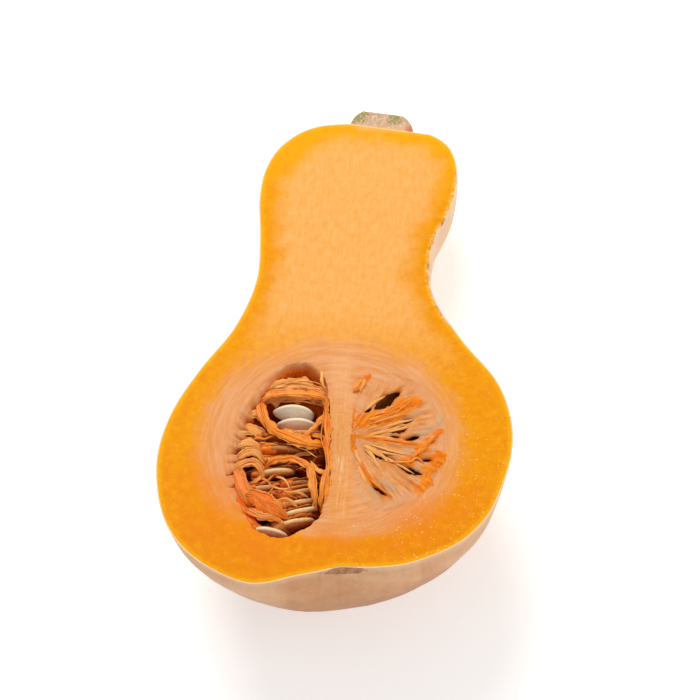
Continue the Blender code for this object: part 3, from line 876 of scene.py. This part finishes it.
def strip(route, widths, thickness, paleness=0.3, tilt=0.0, seed=0, sides=14, ragged=0.35):
    """One strip along a route: widths are given at even places along it, tilt in degrees turns
    it about its own length. A wide one carries finer threads along its face."""
    route = np.asarray(route, float)
    length = np.linalg.norm(np.diff(route, axis=0), axis=1).sum()
    rings = max(8, int(length / STRIP_STEP))
    share = np.linspace(0, 1, rings)
    path = along_curve(route, share * (len(route) - 1))
    width = along_curve(np.asarray(widths, float)[:, None], share * (len(widths) - 1))[:, 0]
    close = np.clip(np.minimum(share, 1 - share) / 0.2, 0.04, 1) ** 0.7
    ahead = unit(np.gradient(path, axis=0))
    side = np.cross(ahead, (0, 0, 1.0))
    side /= np.linalg.norm(side, axis=1, keepdims=True) + 1e-9
    up = np.cross(side, ahead)
    turn = math.radians(tilt)
    side, up = side * math.cos(turn) - up * math.sin(turn), up * math.cos(turn) + side * math.sin(turn)
    angle = np.arange(sides) / sides * 2 * math.pi
    reach = np.cos(angle)[None, :] * (width * close)[:, None] / 2
    rise = np.sin(angle)[None, :] * (thickness * close)[:, None] / 2
    run = np.broadcast_to((share * length)[:, None], reach.shape)
    texture = np.stack([run * 0.14, reach * 0.9, rise * 0.3], -1).reshape(-1, 3) + seed * 3.1
    crease = rough(texture, 1.0, 61, 3).reshape(reach.shape)
    fray = rough(np.stack([run * 0.35, np.sign(reach) * 4, run * 0], -1).reshape(-1, 3) + seed, 1.0,
                 62, 4).reshape(reach.shape) * 1.2
    size = np.clip(width / 4, 0.2, 0.9)[:, None]
    rise = rise + crease * size * 0.6
    reach = reach * (1 + fray * ragged)
    points = path[:, None] + side[:, None] * reach[..., None] + up[:, None] * rise[..., None]
    points = points.reshape(-1, 3)
    faces = grid_faces(rings, sides, closed=True)
    faces += [tuple(range(sides))[::-1], tuple((rings - 1) * sides + c for c in range(sides))]
    edge = (np.abs(np.cos(angle)) ** 3)[None, :] * np.ones((rings, 1))
    masks = {"run_along": run.ravel(), "run_across": reach.ravel() + seed * 2.7,
             "paleness": np.full(rings * sides, paleness), "thin_edge": edge.ravel()}
    strips = [(points, faces, masks)]
    wander = random.Random(seed)
    stops = np.round(np.linspace(0, rings - 1, len(route))).astype(int)
    for index in range(round(max(widths) * 0.7) if max(widths) > 1.8 else 0):
        across = wander.uniform(-0.44, 0.44) + np.array([wander.uniform(-0.13, 0.13) for _ in stops])
        lie = path[stops] + side[stops] * (across * width[stops])[:, None]
        lie += up[stops] * (thickness * 0.35 + size[stops] * 0.25)
        fine = wander.uniform(0.3, 0.75)
        strips.append(strip(lie, [fine * 0.5, fine, fine * 0.9, fine * 0.4], 0.4,
                            min(1, paleness + wander.choice((0, 0, 0.1, 0.5))),
                            seed=seed + index + 1.5, sides=8))
    return merged(strips)


def bundle(name, strips, finish, *replaced):
    """Join strips into one piece."""
    points, faces, masks = merged(strips)
    piece = lay_on_cut(name, tidy_mesh(name, points, faces, masks))
    piece.data.materials.append(finish)
    if replaced:
        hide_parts(*replaced)
    return piece


pulp_finish, pulp_shader, place, masks = new_finish(
    "wet_pulp", ("run_along", "run_across", "paleness", "thin_edge"))
run_along, run_across, paleness, thin_edge = masks
x, y, z = place.split()
strands = (run_along * 0.16).joined(run_across * 1.5).noise(1.0, 4.0, 0.7)
blotch = place.noise(0.35, 3.0, 0.6)
low_left = x.rise(-4, -26) * y.rise(4, -8)
highlights = (strands * 0.5 + blotch * 0.5).rise(0.53, 0.66)
vivid_pulp = layered("E65E0A", ("FF9420", strands.rise(0.32, 0.68)), ("E65404", low_left * 0.7),
                     ("FFB648", highlights * 0.6))
pale_pulp = paint_over("FFC07A", "F29A48", strands.rise(0.32, 0.68))
# The lowest strips turn brown with depth: painted shade down in the hollow.
colour = layered(vivid_pulp, (pale_pulp, paleness), ("F9A448", thin_edge * 0.3),
                 ("BC520E", z.rise(-5.6, -12) * 0.7))
connect(pulp_shader, colour, 0.14 + strands * 0.24, strands * 0.7 + blotch * 0.4, bump=0.2)
set_all_over(pulp_shader, {"Coat Weight": 0.08, "Coat Roughness": 0.12, "Specular IOR Level": 0.4,
                           "Specular Tint": tint("FFA040"), "Subsurface Weight": 0.25,
                           "Subsurface Radius": (1.0, 0.45, 0.1), "Subsurface Scale": 0.003})

curtain = [
    strip([(-32, 24.4, -7), (-28.4, 27.4, -4.8), (-22.5, 29.6, -4.8), (-15, 30.4, -4.8),
           (-9, 29.2, -4.6), (-4.2, 26.4, -4.6), (-2.6, 23, -7)], [4, 7.4, 8.8, 8.6, 7.6, 6, 3], 1.1,
          0.75, tilt=24, seed=1, sides=36),
    strip([(-31, 23.5, -5), (-28, 25.4, -2.8), (-22, 27, -2.3), (-15, 27.2, -2.1), (-8.5, 27, -2.2),
           (-3.6, 24.6, -4)], [2, 3, 3.4, 3, 3, 2], 1.2, 0.2, seed=2, sides=18, ragged=0.6),
    strip([(-29, 27, -7), (-25, 30, -6), (-19, 32, -6), (-13, 32.4, -6.2), (-8, 29.6, -6.4)],
          [1, 2.6, 3, 2.6, 1], 0.8, 0.7, tilt=28, seed=3, sides=18),
    strip([(-30, 26, -4.4), (-26.5, 27.6, -3), (-22, 28.8, -3.2), (-18, 29, -3.8)],
          [1.4, 2.4, 2, 0.6], 0.8, 0.95, seed=4),
    strip([(-28.6, 30.4, -5), (-25.4, 31, -3.6), (-20.6, 31.6, -3.4)], [1, 1.4, 0.6], 0.6, 1.0, seed=25),
    strip([(-27.4, 31.6, -6), (-23, 33.6, -5.6), (-17.6, 34.2, -5.4), (-12.4, 33.8, -5.6)],
          [1.4, 3.2, 2.6, 0.8], 0.5, 0.7, tilt=20, seed=33, sides=20, ragged=0.5),
    strip([(-14.6, 30.6, -3.8), (-10.4, 29.6, -3.2), (-7, 26.6, -3), (-5.4, 22.6, -3.2)],
          [0.8, 2.4, 2.6, 1], 0.6, 0.15, seed=34, sides=16, ragged=0.5),
    strip([(-10.6, 39.6, -0.9), (-8.1, 36.8, -0.7), (-7.7, 32.6, -0.9), (-6.2, 29.4, -1.6)],
          [0.9, 1.3, 1.1, 0.6], 0.9, 1.0, seed=5, sides=10),
]
flap = [
    strip([(-30.4, 25.4, -5), (-28.8, 21.6, -2.8), (-27, 16, -2.4), (-23, 11, -2.1), (-17, 7.6, -1.9),
           (-11, 5.8, -1.9), (-6, 5.6, -2.6), (-3, 5.6, -5)], [2, 2.8, 3, 3.8, 4.6, 4.6, 3.4, 2], 0.8,
          0.08, seed=6, sides=26, ragged=0.5),
    strip([(-30.4, 24, -4), (-30.2, 20, -2.6), (-28.4, 15.4, -2.9), (-26, 12, -4.6)],
          [1.4, 2.2, 2, 1], 1.2, 0.5, seed=7),
    strip([(-13, 8.4, -2), (-9.6, 12, -1.9), (-6.8, 17, -2), (-4, 21, -2.4)], [1.2, 1.8, 1.6, 0.8],
          0.7, 0.2, seed=8, ragged=0.6),
    strip([(-11, 11, -3), (-8, 14.4, -2.4), (-5.6, 15.4, -2), (-3, 13.6, -2)], [1, 2, 2.2, 1.4],
          0.6, 0.1, seed=27, ragged=0.7),
    strip([(-15, 10.4, -3), (-12, 10.6, -3.6), (-8.6, 10.4, -3.4), (-4, 9.6, -3)],
          [1, 1.6, 2, 1.4], 0.7, 0.05, seed=9, ragged=0.6),
]
cords = [
    strip([(-12, -1.4, -6), (-10, -3.4, -2.8), (-8.6, -6, -1.8), (-7.4, -10.6, -1.7), (-6.2, -17, -2.2),
           (-5.4, -21, -5)], [1.4, 2.4, 3.2, 3.6, 2.4, 1], 1.3, 0.25, seed=10, sides=20, ragged=0.5),
    strip([(-1.8, -1.6, -3), (-2.6, -5.6, -1.3), (-3.6, -11, -1.2), (-4.2, -18, -2), (-4, -21, -4)],
          [1.2, 2, 2.4, 1.6, 0.8], 1.0, 0.15, seed=11, ragged=0.5),
    strip([(-26.6, -5, -5), (-23.6, -2.4, -2.8), (-19.6, -1.1, -2.4), (-15, -1, -2.2), (-9.6, -4.6, -2),
           (-7.6, -7.6, -4)], [1.4, 2.4, 3, 3, 2.6, 1.4], 0.7, 0.1, seed=12, sides=18, ragged=0.5),
    strip([(-9.4, -1, -3), (-6.4, -5.6, -1.6), (-4, -6.4, -1.4), (-1.2, -4, -1.4)], [1, 1.6, 1.8, 1],
          0.7, 0.4, seed=13, ragged=0.5),
    strip([(-21.5, -8.6, -3.4), (-19.4, -9.6, -1.9), (-17.4, -11.2, -1.5), (-15.6, -14.4, -2.4)],
          [0.6, 0.9, 0.9, 0.4], 0.6, 0.9, seed=14, sides=10),
    strip([(-22.6, -12.8, -3), (-20, -14.2, -1.8), (-18, -14.6, -1.6), (-15.8, -13.6, -2.4)],
          [0.5, 0.8, 0.8, 0.3], 0.5, 0.9, seed=15, sides=10),
]
wall_skins = [
    strip([(-37, -2.6, -4), (-34.4, -0.6, -2.6), (-31.6, 0.8, -2.2), (-28.8, 0.2, -2.6), (-25.8, -3, -4.4)],
          [1.6, 2.6, 3, 2.6, 1.2], 1.4, 0.7, seed=16, sides=18),
    strip([(-38, -7, -4), (-35, -5, -2.6), (-31, -3.4, -2.2), (-27.8, -4.6, -2.6), (-25.6, -8.4, -4.6)],
          [2, 3, 3.6, 2.8, 1.2], 1.4, 0.6, seed=17, sides=18),
    strip([(-36.6, -4.4, -4), (-35, -7.6, -2.6), (-33.8, -11.4, -2.2), (-32, -15.4, -2.2),
           (-29.4, -19.4, -2.8), (-27, -22, -5)], [2, 4, 5, 5, 4, 2], 2.0, 0.25, seed=18, sides=24),
    strip([(-33, -16, -4), (-30.4, -17.6, -2.2), (-27, -18.4, -1.6), (-24.4, -20.2, -1.6),
           (-21, -22.6, -1.8), (-18, -24.8, -2.3), (-14.6, -26, -3.6)], [3, 5.5, 7, 7, 6, 4, 1.4],
          2.2, 0.08, seed=19, sides=28, ragged=0.5),
    strip([(-32, -22, -4), (-29, -24, -2.4), (-25, -25.4, -2), (-20.6, -26.4, -2.2), (-16, -28.6, -3.4)],
          [2, 3.6, 4, 3, 1], 1.4, 0.15, seed=20, sides=18, ragged=0.6),
    strip([(-34.4, -18.6, -5), (-33, -22.6, -3), (-30, -26.6, -3), (-26.6, -29.4, -3.6),
           (-22.6, -31.4, -5.4)], [2, 4.2, 4.8, 3.8, 1.4], 1.6, 0.05, seed=26, sides=20, ragged=0.5),
    strip([(-37.4, -9, -5), (-36.4, -13.6, -3.2), (-34.6, -18, -3), (-32, -21.4, -3.4), (-29, -23, -5)],
          [2, 3.6, 4, 3.4, 1.4], 1.6, 0.0, seed=28, sides=20, ragged=0.5),
    strip([(-4.9, 27.4, -1.8), (-5, 21, -1.4), (-4.4, 15, -1.3), (-4.2, 8, -1.4), (-2.6, 0.4, -1.2),
           (-2.2, -6, -1.2), (-2.2, -13, -1.3), (-2.4, -19, -1.4), (-3.8, -23.6, -2.2)],
          [1.6, 2.6, 3.4, 3.6, 2.4, 2, 2.6, 2.6, 1.4], 1.0, 0.05, tilt=30, seed=21, sides=18, ragged=0.8),
    strip([(-35, 17.4, -2.6), (-31, 18.6, -3.4), (-28, 18, -5), (-26, 16.4, -7)], [3, 4.4, 3.4, 1.4],
          0.9, 0.8, seed=22, sides=16, ragged=0.5),
    strip([(-37.4, 9.6, -2.6), (-33, 11.4, -3.6), (-29.6, 11, -4.6), (-26.4, 9.6, -7)],
          [3.4, 5, 4.6, 2], 0.9, 0.75, seed=23, sides=16, ragged=0.5),
    strip([(-38.6, 2.6, -2.6), (-34.4, 5, -3.2), (-30.6, 5.4, -4.2), (-27, 4, -7)], [3, 4.6, 4.6, 2],
          0.9, 0.7, seed=24, sides=16, ragged=0.5),
]
chance = random.Random(31)
for index in range(THREADS):
    angle = chance.uniform(0, 2 * math.pi)
    start = chance.uniform(0.6, 0.98)
    x = OPEN_HOLLOW_CENTRE[0] + THREAD_OVAL[0] * math.cos(angle) * start
    y = OPEN_HOLLOW_CENTRE[1] + THREAD_OVAL[1] * math.sin(angle) * start
    z = -chance.uniform(2.2, 9)
    heading = angle + math.pi + chance.uniform(-1.2, 1.2)
    route = [(x, y, z - 1.5)]
    for step in range(4):
        x += THREAD_STEP * math.cos(heading)
        y += THREAD_STEP * math.sin(heading)
        z += chance.uniform(-0.9, 0.9)
        heading += chance.uniform(-0.7, 0.7)
        route.append((x, y, min(z, -1.6)))
    route.append((x, y, z - 2))
    crosses_white_seeds = any(-28 < point[0] < -7 and 13 < point[1] < 26 for point in route)
    if crosses_white_seeds:
        continue
    width = chance.choice((0.3, 0.4, 0.5, 0.8, 1.2))
    wall_skins.append(strip(route, [width * 1.6, width, width * 0.6], min(width, 0.5),
                            chance.random() * 0.7, tilt=chance.uniform(-40, 40), seed=70 + index,
                            sides=7))
bundle("pulp_curtain", curtain, pulp_finish, "pulp_drape")
bundle("torn_flap", flap, pulp_finish, "pulp_flap")
bundle("side_cords", cords, pulp_finish, "pulp_cord")
bundle("wall_skins", wall_skins, pulp_finish, "pulp_wall")

fan_strings = [
    strip([(8.8, 15.6, -0.2), (14, 17.6, 0.3), (18, 19.6, 0.4), (22.6, 22.6, 0.3), (26, 26, -0.3)],
          [1.2, 3.2, 3, 3.4, 1.6], 0.8, 0.1, seed=30, sides=20, ragged=0.5),
    strip([(10.8, 13.6, -0.1), (15.6, 15.6, 0.4), (21, 17.8, 0.4), (27, 20.6, 0), (29.6, 22.6, -0.3)],
          [0.8, 1.8, 2.2, 1.8, 0.8], 0.8, 0.0, seed=37, sides=16, ragged=0.5),
    strip([(6, 8.7, -0.1), (12, 8.4, 0.2), (17, 7.7, 0.3), (26, 6.6, 0.2), (32, 6.9, 0),
           (37.6, 12.6, -0.3)], [0.5, 1, 0.8, 0.9, 1.3, 0.8], 0.7, 0.15, seed=31),
    strip([(37.6, 12.8, -0.3), (34.4, 8.4, 0.3), (31.1, 4.2, 0.5), (28.5, 1.3, 0.3), (26.4, -1.5, -0.2)],
          [0.8, 1.4, 2, 1.4, 0.5], 0.8, 0.05, seed=32, sides=14, ragged=0.5),
    strip([(16.5, -1.5, 0), (22.4, -2.1, 0.4), (26.9, -1.7, 0.5), (29.4, 0.2, 0.3), (32.3, -2.2, -0.1)],
          [0.5, 0.9, 0.8, 0.8, 0.4], 0.6, 0.35, seed=33, sides=10),
    strip([(37.6, 2, -0.4), (35.6, -2, 0), (33.2, -6.5, 0), (31.6, -11.6, -0.4)], [0.8, 1.8, 2.2, 0.8],
          0.7, 0.1, seed=34, sides=16, ragged=0.5),
    strip([(4.2, 27.6, -0.1), (6, 30.5, 0.5), (8, 34.8, 0.5)], [0.6, 2.6, 0.5], 0.6, 0.15, seed=35,
          sides=16),
    strip([(6.8, 35, 0.3), (8, 32, 0.6), (6.6, 27.6, 0.1)], [0.4, 1.4, 0.5], 0.5, 0.5, seed=36),
    strip([(9, -2.6, -0.1), (13.6, -10.2, 0.3), (20.6, -16, -0.1)], [0.5, 0.9, 0.5], 0.6, 0.2, seed=38),
]
for index in range(VEIL_THREADS):
    heading = math.radians(chance.uniform(-74, 78))
    start = chance.uniform(4, 14)
    end = start + chance.uniform(7, 18)
    wave = chance.uniform(-0.25, 0.25)
    route = [(FAN_MIDDLE[0] + reach * math.cos(heading + wave * share),
              FAN_MIDDLE[1] + reach * math.sin(heading + wave * share),
              -0.4 + 0.4 * math.sin(share * math.pi))
             for share, reach in ((0, start), (0.5, (start + end) / 2), (1, end))]
    if not is_inside(np.array([route[-1][:2]]), veil_rim)[0]:
        continue
    width = chance.uniform(0.5, 1.8)
    fan_strings.append(strip(route, [width * 0.6, width, width * 0.5], 0.4, chance.uniform(0.6, 1),
                             seed=140 + index, sides=10))
bundle("fan_strings", fan_strings, pulp_finish)

# THE SEEDS
# Flat drop-shaped seeds with a hard cream coat and a raised margin, stacked on edge in wet pulp.
# The freshest two are nearly white; those still in their pockets wear a tan skin of pulp.
SEED_RINGS = 12
SEED_SPOKES = 44
SEED_TAPER = 0.2
POCKETED = range(2, 22)
FRESH_SEEDS = {"seed_01": 0.0, "seed_02": 0.08, "seed_12": 0.28, "seed_15": 0.2, "seed_14": 0.3,
               "seed_06": 0.5, "seed_07": 0.4, "seed_11": 0.45, "seed_23": 0.6}

seed_finish, seed_shader, place, masks = new_finish("seed_coat", ("stain", "seed_margin"))
stain, margin = masks
marks = place.noise(0.9, 4.0, 0.65)
fine_marks = place.noise(3.5, 3.0, 0.6)
white_coat = paint_over("FFF8EA", "FCE8CE", marks.rise(0.4, 0.7))
cream_coat = paint_over("F6CE8C", "D89848", marks.rise(0.35, 0.65))
tan_skin = paint_over("CA721C", "8E4008", marks.rise(0.35, 0.7))
east, _, seed_height = place.split()
# Partly a real stain of pulp on the pocketed seeds, partly painted shade: they turn brown deeper in the
# hollow and under the veil on the right.
stain_and_depth_shade = (seed_height.rise(-3.4, -8) + east.rise(2, 8)).rise(0, 1) * stain.rise(0.1, 0.5)
colour = layered(white_coat, (cream_coat, stain.rise(0.1, 0.3)),
                 (tan_skin, (stain + (marks - 0.5) * 0.8).rise(0.35, 0.75)),
                 ("F8DCA8", margin * stain.rise(1.05, 0.1) * 0.75), ("B4560E", stain_and_depth_shade * 0.75))
connect(seed_shader, colour, 0.25 + fine_marks * 0.25, marks * 0.5 + fine_marks * 0.4, bump=0.12)
set_all_over(seed_shader, {"Specular IOR Level": 0.3, "Specular Tint": tint("FFD8A8"),
                           "Coat Weight": 0.05, "Coat Roughness": 0.15, "Subsurface Weight": 0.15,
                           "Subsurface Radius": (1.0, 0.6, 0.35), "Subsurface Scale": 0.0015})

film_strips = []
into_cut = CUT.inverted()
seed_names = sorted(name for name in frame["nodes"] if name.startswith("seed_"))
for number, seed_name in enumerate(seed_names):
    corners = np.array([into_cut @ v.co for v in frame["nodes"][seed_name].data.vertices]) / MM
    middle = corners.mean(0)
    _, axes = np.linalg.eigh(np.cov((corners - middle).T))
    thin_way, wide_way, long_way = axes.T
    reaches = [(corners - middle) @ way for way in (long_way, wide_way, thin_way)]
    if np.mean(reaches[0] ** 3) < 0:
        long_way = -long_way
        reaches[0] = -reaches[0]
    thin_way = np.cross(long_way, wide_way)
    half_long, half_wide, half_thin = (np.ptp(reach) / 2 for reach in reaches)
    middle = middle + long_way * (reaches[0].max() + reaches[0].min()) / 2
    points, margins = [], []
    for flip in (1, -1):
        for ring in range(SEED_RINGS + 1):
            u = ring / SEED_RINGS
            dome = (1 - u ** 5) ** 0.6 * (0.86 + 0.1 * math.cos(u * math.pi))
            rim = 0.16 * math.exp(-((u - 0.9) / 0.05) ** 2)
            for spoke in range(SEED_SPOKES):
                angle = spoke / SEED_SPOKES * 2 * math.pi
                along = math.cos(angle)
                narrow = 1 - SEED_TAPER * (along * u + 0.3) ** 2 * (1 if along > 0 else 0.25)
                broad = math.copysign(abs(math.sin(angle)) ** 0.85, math.sin(angle))
                points.append((u * half_long * along, u * half_wide * broad * narrow,
                               flip * half_thin * (dome + rim if u < 1 else 0)))
                margins.append(math.exp(-((u - 0.93) / 0.08) ** 2))
    points = np.array(points)
    points[:, 2] += rough(points * (0.5, 1, 0) + number * 7, 4, 71, 2) * 0.16 * half_thin
    points[:, 2] += (points[:, 0] / half_long) ** 2 * (number % 3 - 1) * 0.25
    turned = middle + points[:, :1] * long_way + points[:, 1:2] * wide_way + points[:, 2:] * thin_way
    rows = SEED_RINGS + 1
    faces = [face for start in (0, rows * SEED_SPOKES)
             for face in grid_faces(rows, SEED_SPOKES, start, closed=True)]
    stains = np.full(len(points), FRESH_SEEDS.get(seed_name, chance.uniform(0.55, 1.0)))
    mesh = tidy_mesh(f"{seed_name}_coat", turned, faces, {"stain": stains, "seed_margin": margins},
                     weld=0.004)
    piece = lay_on_cut(f"{seed_name}_coat", mesh)
    piece.data.materials.append(seed_finish)
    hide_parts(seed_name)
    if number in POCKETED:
        end = -1 if long_way[0] > 0 else 1
        tail = middle + long_way * end * (half_long + 0.8)
        bare = chance.uniform(-0.2, 0.5)
        head = middle + long_way * end * half_long * bare
        route = [tail, (tail * 2 + head) / 3 + wide_way * 0.2, (tail + head * 2) / 3, head]
        film_strips.append((route, [0.9, 1.75, 2.1, 1.9], half_wide, half_thin * 2 + 0.7, wide_way,
                            chance.uniform(0.1, 0.8), number))
        behind = thin_way * (1 if thin_way[1] > 0 else -1) * (half_thin + chance.uniform(0.6, 1.1))
        lift = wide_way * (1 if wide_way[2] > 0 else -1) * chance.uniform(-4.0, -1.2)
        route = [middle + behind + lift + long_way * end * half_long * reach
                 for reach in (1.35, 0.7, 0, -0.7, -chance.uniform(1.0, 1.3))]
        film_strips.append((route, [1.0, 1.9, 2.2, 2.0, 0.8], half_wide, 0.4, wide_way,
                            chance.uniform(0, 0.45), 40 + number))


def pocket_skin(route, spread, half_wide, thickness, wide_way, paleness, seed):
    """A skin of pulp that stands beside a seed, or is drawn over one end of it like a sleeve."""
    ahead = unit(route[-1] - route[0])
    flat_side = unit(np.cross(ahead, (0, 0, 1.0)))
    lift = np.cross(flat_side, ahead)
    tilt = math.degrees(math.atan2(-wide_way @ lift, wide_way @ flat_side))
    widths = [half_wide * share for share in spread]
    return strip(route, widths, thickness, paleness, tilt, 200 + seed, sides=26, ragged=0.3)


bundle("seed_pockets", [pocket_skin(*film) for film in film_strips], pulp_finish)

# THE STEM
# A dry, five-ribbed woody stub that the squash hung from, sawn through with the rest: corky and
# grained inside, green and brown outside, its far end rough where it was snapped off.
STEM_SUNK = 1.0
STEM_LENGTH = 7.6
STEM_BASE_RADIUS = 12.7
STEM_TOP_RADIUS = 8.6
STEM_ROWS = 26
STEM_COLUMNS = 70
STEM_END_ROWS = 14
STEM_RIBS = 5
RIB_HEIGHT = 0.05


def stem_radius(share, angle):
    """The stub's radius: share is 0 where it grew from the squash and 1 at its snapped end."""
    waist = STEM_BASE_RADIUS - (STEM_BASE_RADIUS - STEM_TOP_RADIUS) * share ** 2.6 - share * 0.6
    ribs = 1 + RIB_HEIGHT * np.cos(STEM_RIBS * angle) * (0.5 + 0.5 * share)
    return waist * ribs


def stem_place(share, x, z):
    y = STEM_SEAT - STEM_SUNK + (STEM_LENGTH + STEM_SUNK) * share
    return np.stack([STEM_MIDDLE.x + x, y - x * STEM_SLANT, z], -1)


shares, turns = np.meshgrid(np.linspace(0, 1, STEM_ROWS), np.linspace(0, math.pi, STEM_COLUMNS),
                            indexing="ij")
radius = stem_radius(shares, turns)
edge_x = np.cos(turns) * radius
bark = stem_place(shares, edge_x, -np.sin(turns) * radius)
bark_noise = rough(bark.reshape(-1, 3) * (1, 0.25, 1), 1.6, 81).reshape(shares.shape)
bark_grow = 1 + bark_noise * 0.05 * np.sin(turns)
bark = stem_place(shares, edge_x * bark_grow, -np.sin(turns) * radius * bark_grow)
sawn = stem_place(shares, edge_x * bark_grow, np.zeros_like(shares))
sawn_noise = rough(sawn.reshape(-1, 3) * (1, 0.3, 1), 0.9, 82).reshape(shares.shape)
sawn[..., 2] += sawn_noise * 0.22 * np.sin(turns) - 0.5 * np.exp(-shares / 0.12)
ends = []
for row, push in ((0, 0.0), (STEM_ROWS - 1, 1.0)):
    fill = np.linspace(0, 1, STEM_END_ROWS)[:, None, None]
    end = sawn[row] * (1 - fill) + bark[row] * fill
    roughness = rough(end.reshape(-1, 3), 2.2, 83).reshape(end.shape[:2])
    inner = np.sin(turns[row])[None] * np.sin(fill[..., 0] * math.pi)
    end[..., 1] += roughness * inner * push * 1.4
    ends.append(end)
stem_points = np.concatenate([part.reshape(-1, 3) for part in (bark, sawn, *ends)])
stem_faces = grid_faces(STEM_ROWS, STEM_COLUMNS)
stem_faces += grid_faces(STEM_ROWS, STEM_COLUMNS, STEM_ROWS * STEM_COLUMNS)
for index in range(2):
    first_row = 2 * STEM_ROWS + STEM_END_ROWS * index
    stem_faces += grid_faces(STEM_END_ROWS, STEM_COLUMNS, first_row * STEM_COLUMNS)
stub = lay_on_cut("stem_stub", tidy_mesh("stem_stub", stem_points, stem_faces, weld=0.01, sharp=40))
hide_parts("stem")

stem_finish, stem_shader, place, _ = new_finish("dry_stem")
x, y, z = place.split()
wood_grain = place.stretched(1, 0.2, 1).noise(1.1, 4.0, 0.7)
patches = place.noise(0.22, 3.0, 0.6)
pale_patches = place.noise(0.7, 3.0, 0.6).rise(0.56, 0.66)
inside_wood = layered("C09674", ("E2BE9E", wood_grain.rise(0.35, 0.7)), ("F2DCC8", pale_patches * 0.7),
                      ("E8B078", y.rise(158.6, 155.4) * 0.75))
outside_wood = layered("7A5F36", ("9A8C4C", wood_grain.rise(0.35, 0.65)),
                       ("B59A6C", patches.rise(0.5, 0.7)))
from_middle = x - STEM_MIDDLE.x
left_patch = from_middle.rise(-5, -8.4)
right_patch = from_middle.rise(2, 4) * from_middle.rise(8.4, 6.4)
green = (patches.rise(0.4, 0.5) * 0.4 + left_patch + right_patch) * y.rise(157, 160)
green = green * place.noise(0.9, 3.0, 0.6).rise(0.4, 0.52)
dark_pits = place.noise(0.8, 2.0, 0.5).rise(0.68, 0.74) * y.rise(158, 160)
brown_corners = (from_middle * from_middle).rise(70, 130) * y.rise(159, 156)
colour = layered(outside_wood, (inside_wood, z.rise(-0.9, -0.2)),
                 ("8E8A3A", green.rise(0.1, 0.9) * 0.85), ("6A3A2C", dark_pits * 0.8),
                 ("B8602E", brown_corners * 0.8))
connect(stem_shader, colour, 0.65 + wood_grain * 0.2, wood_grain, bump=0.35)
stub.data.materials.append(stem_finish)
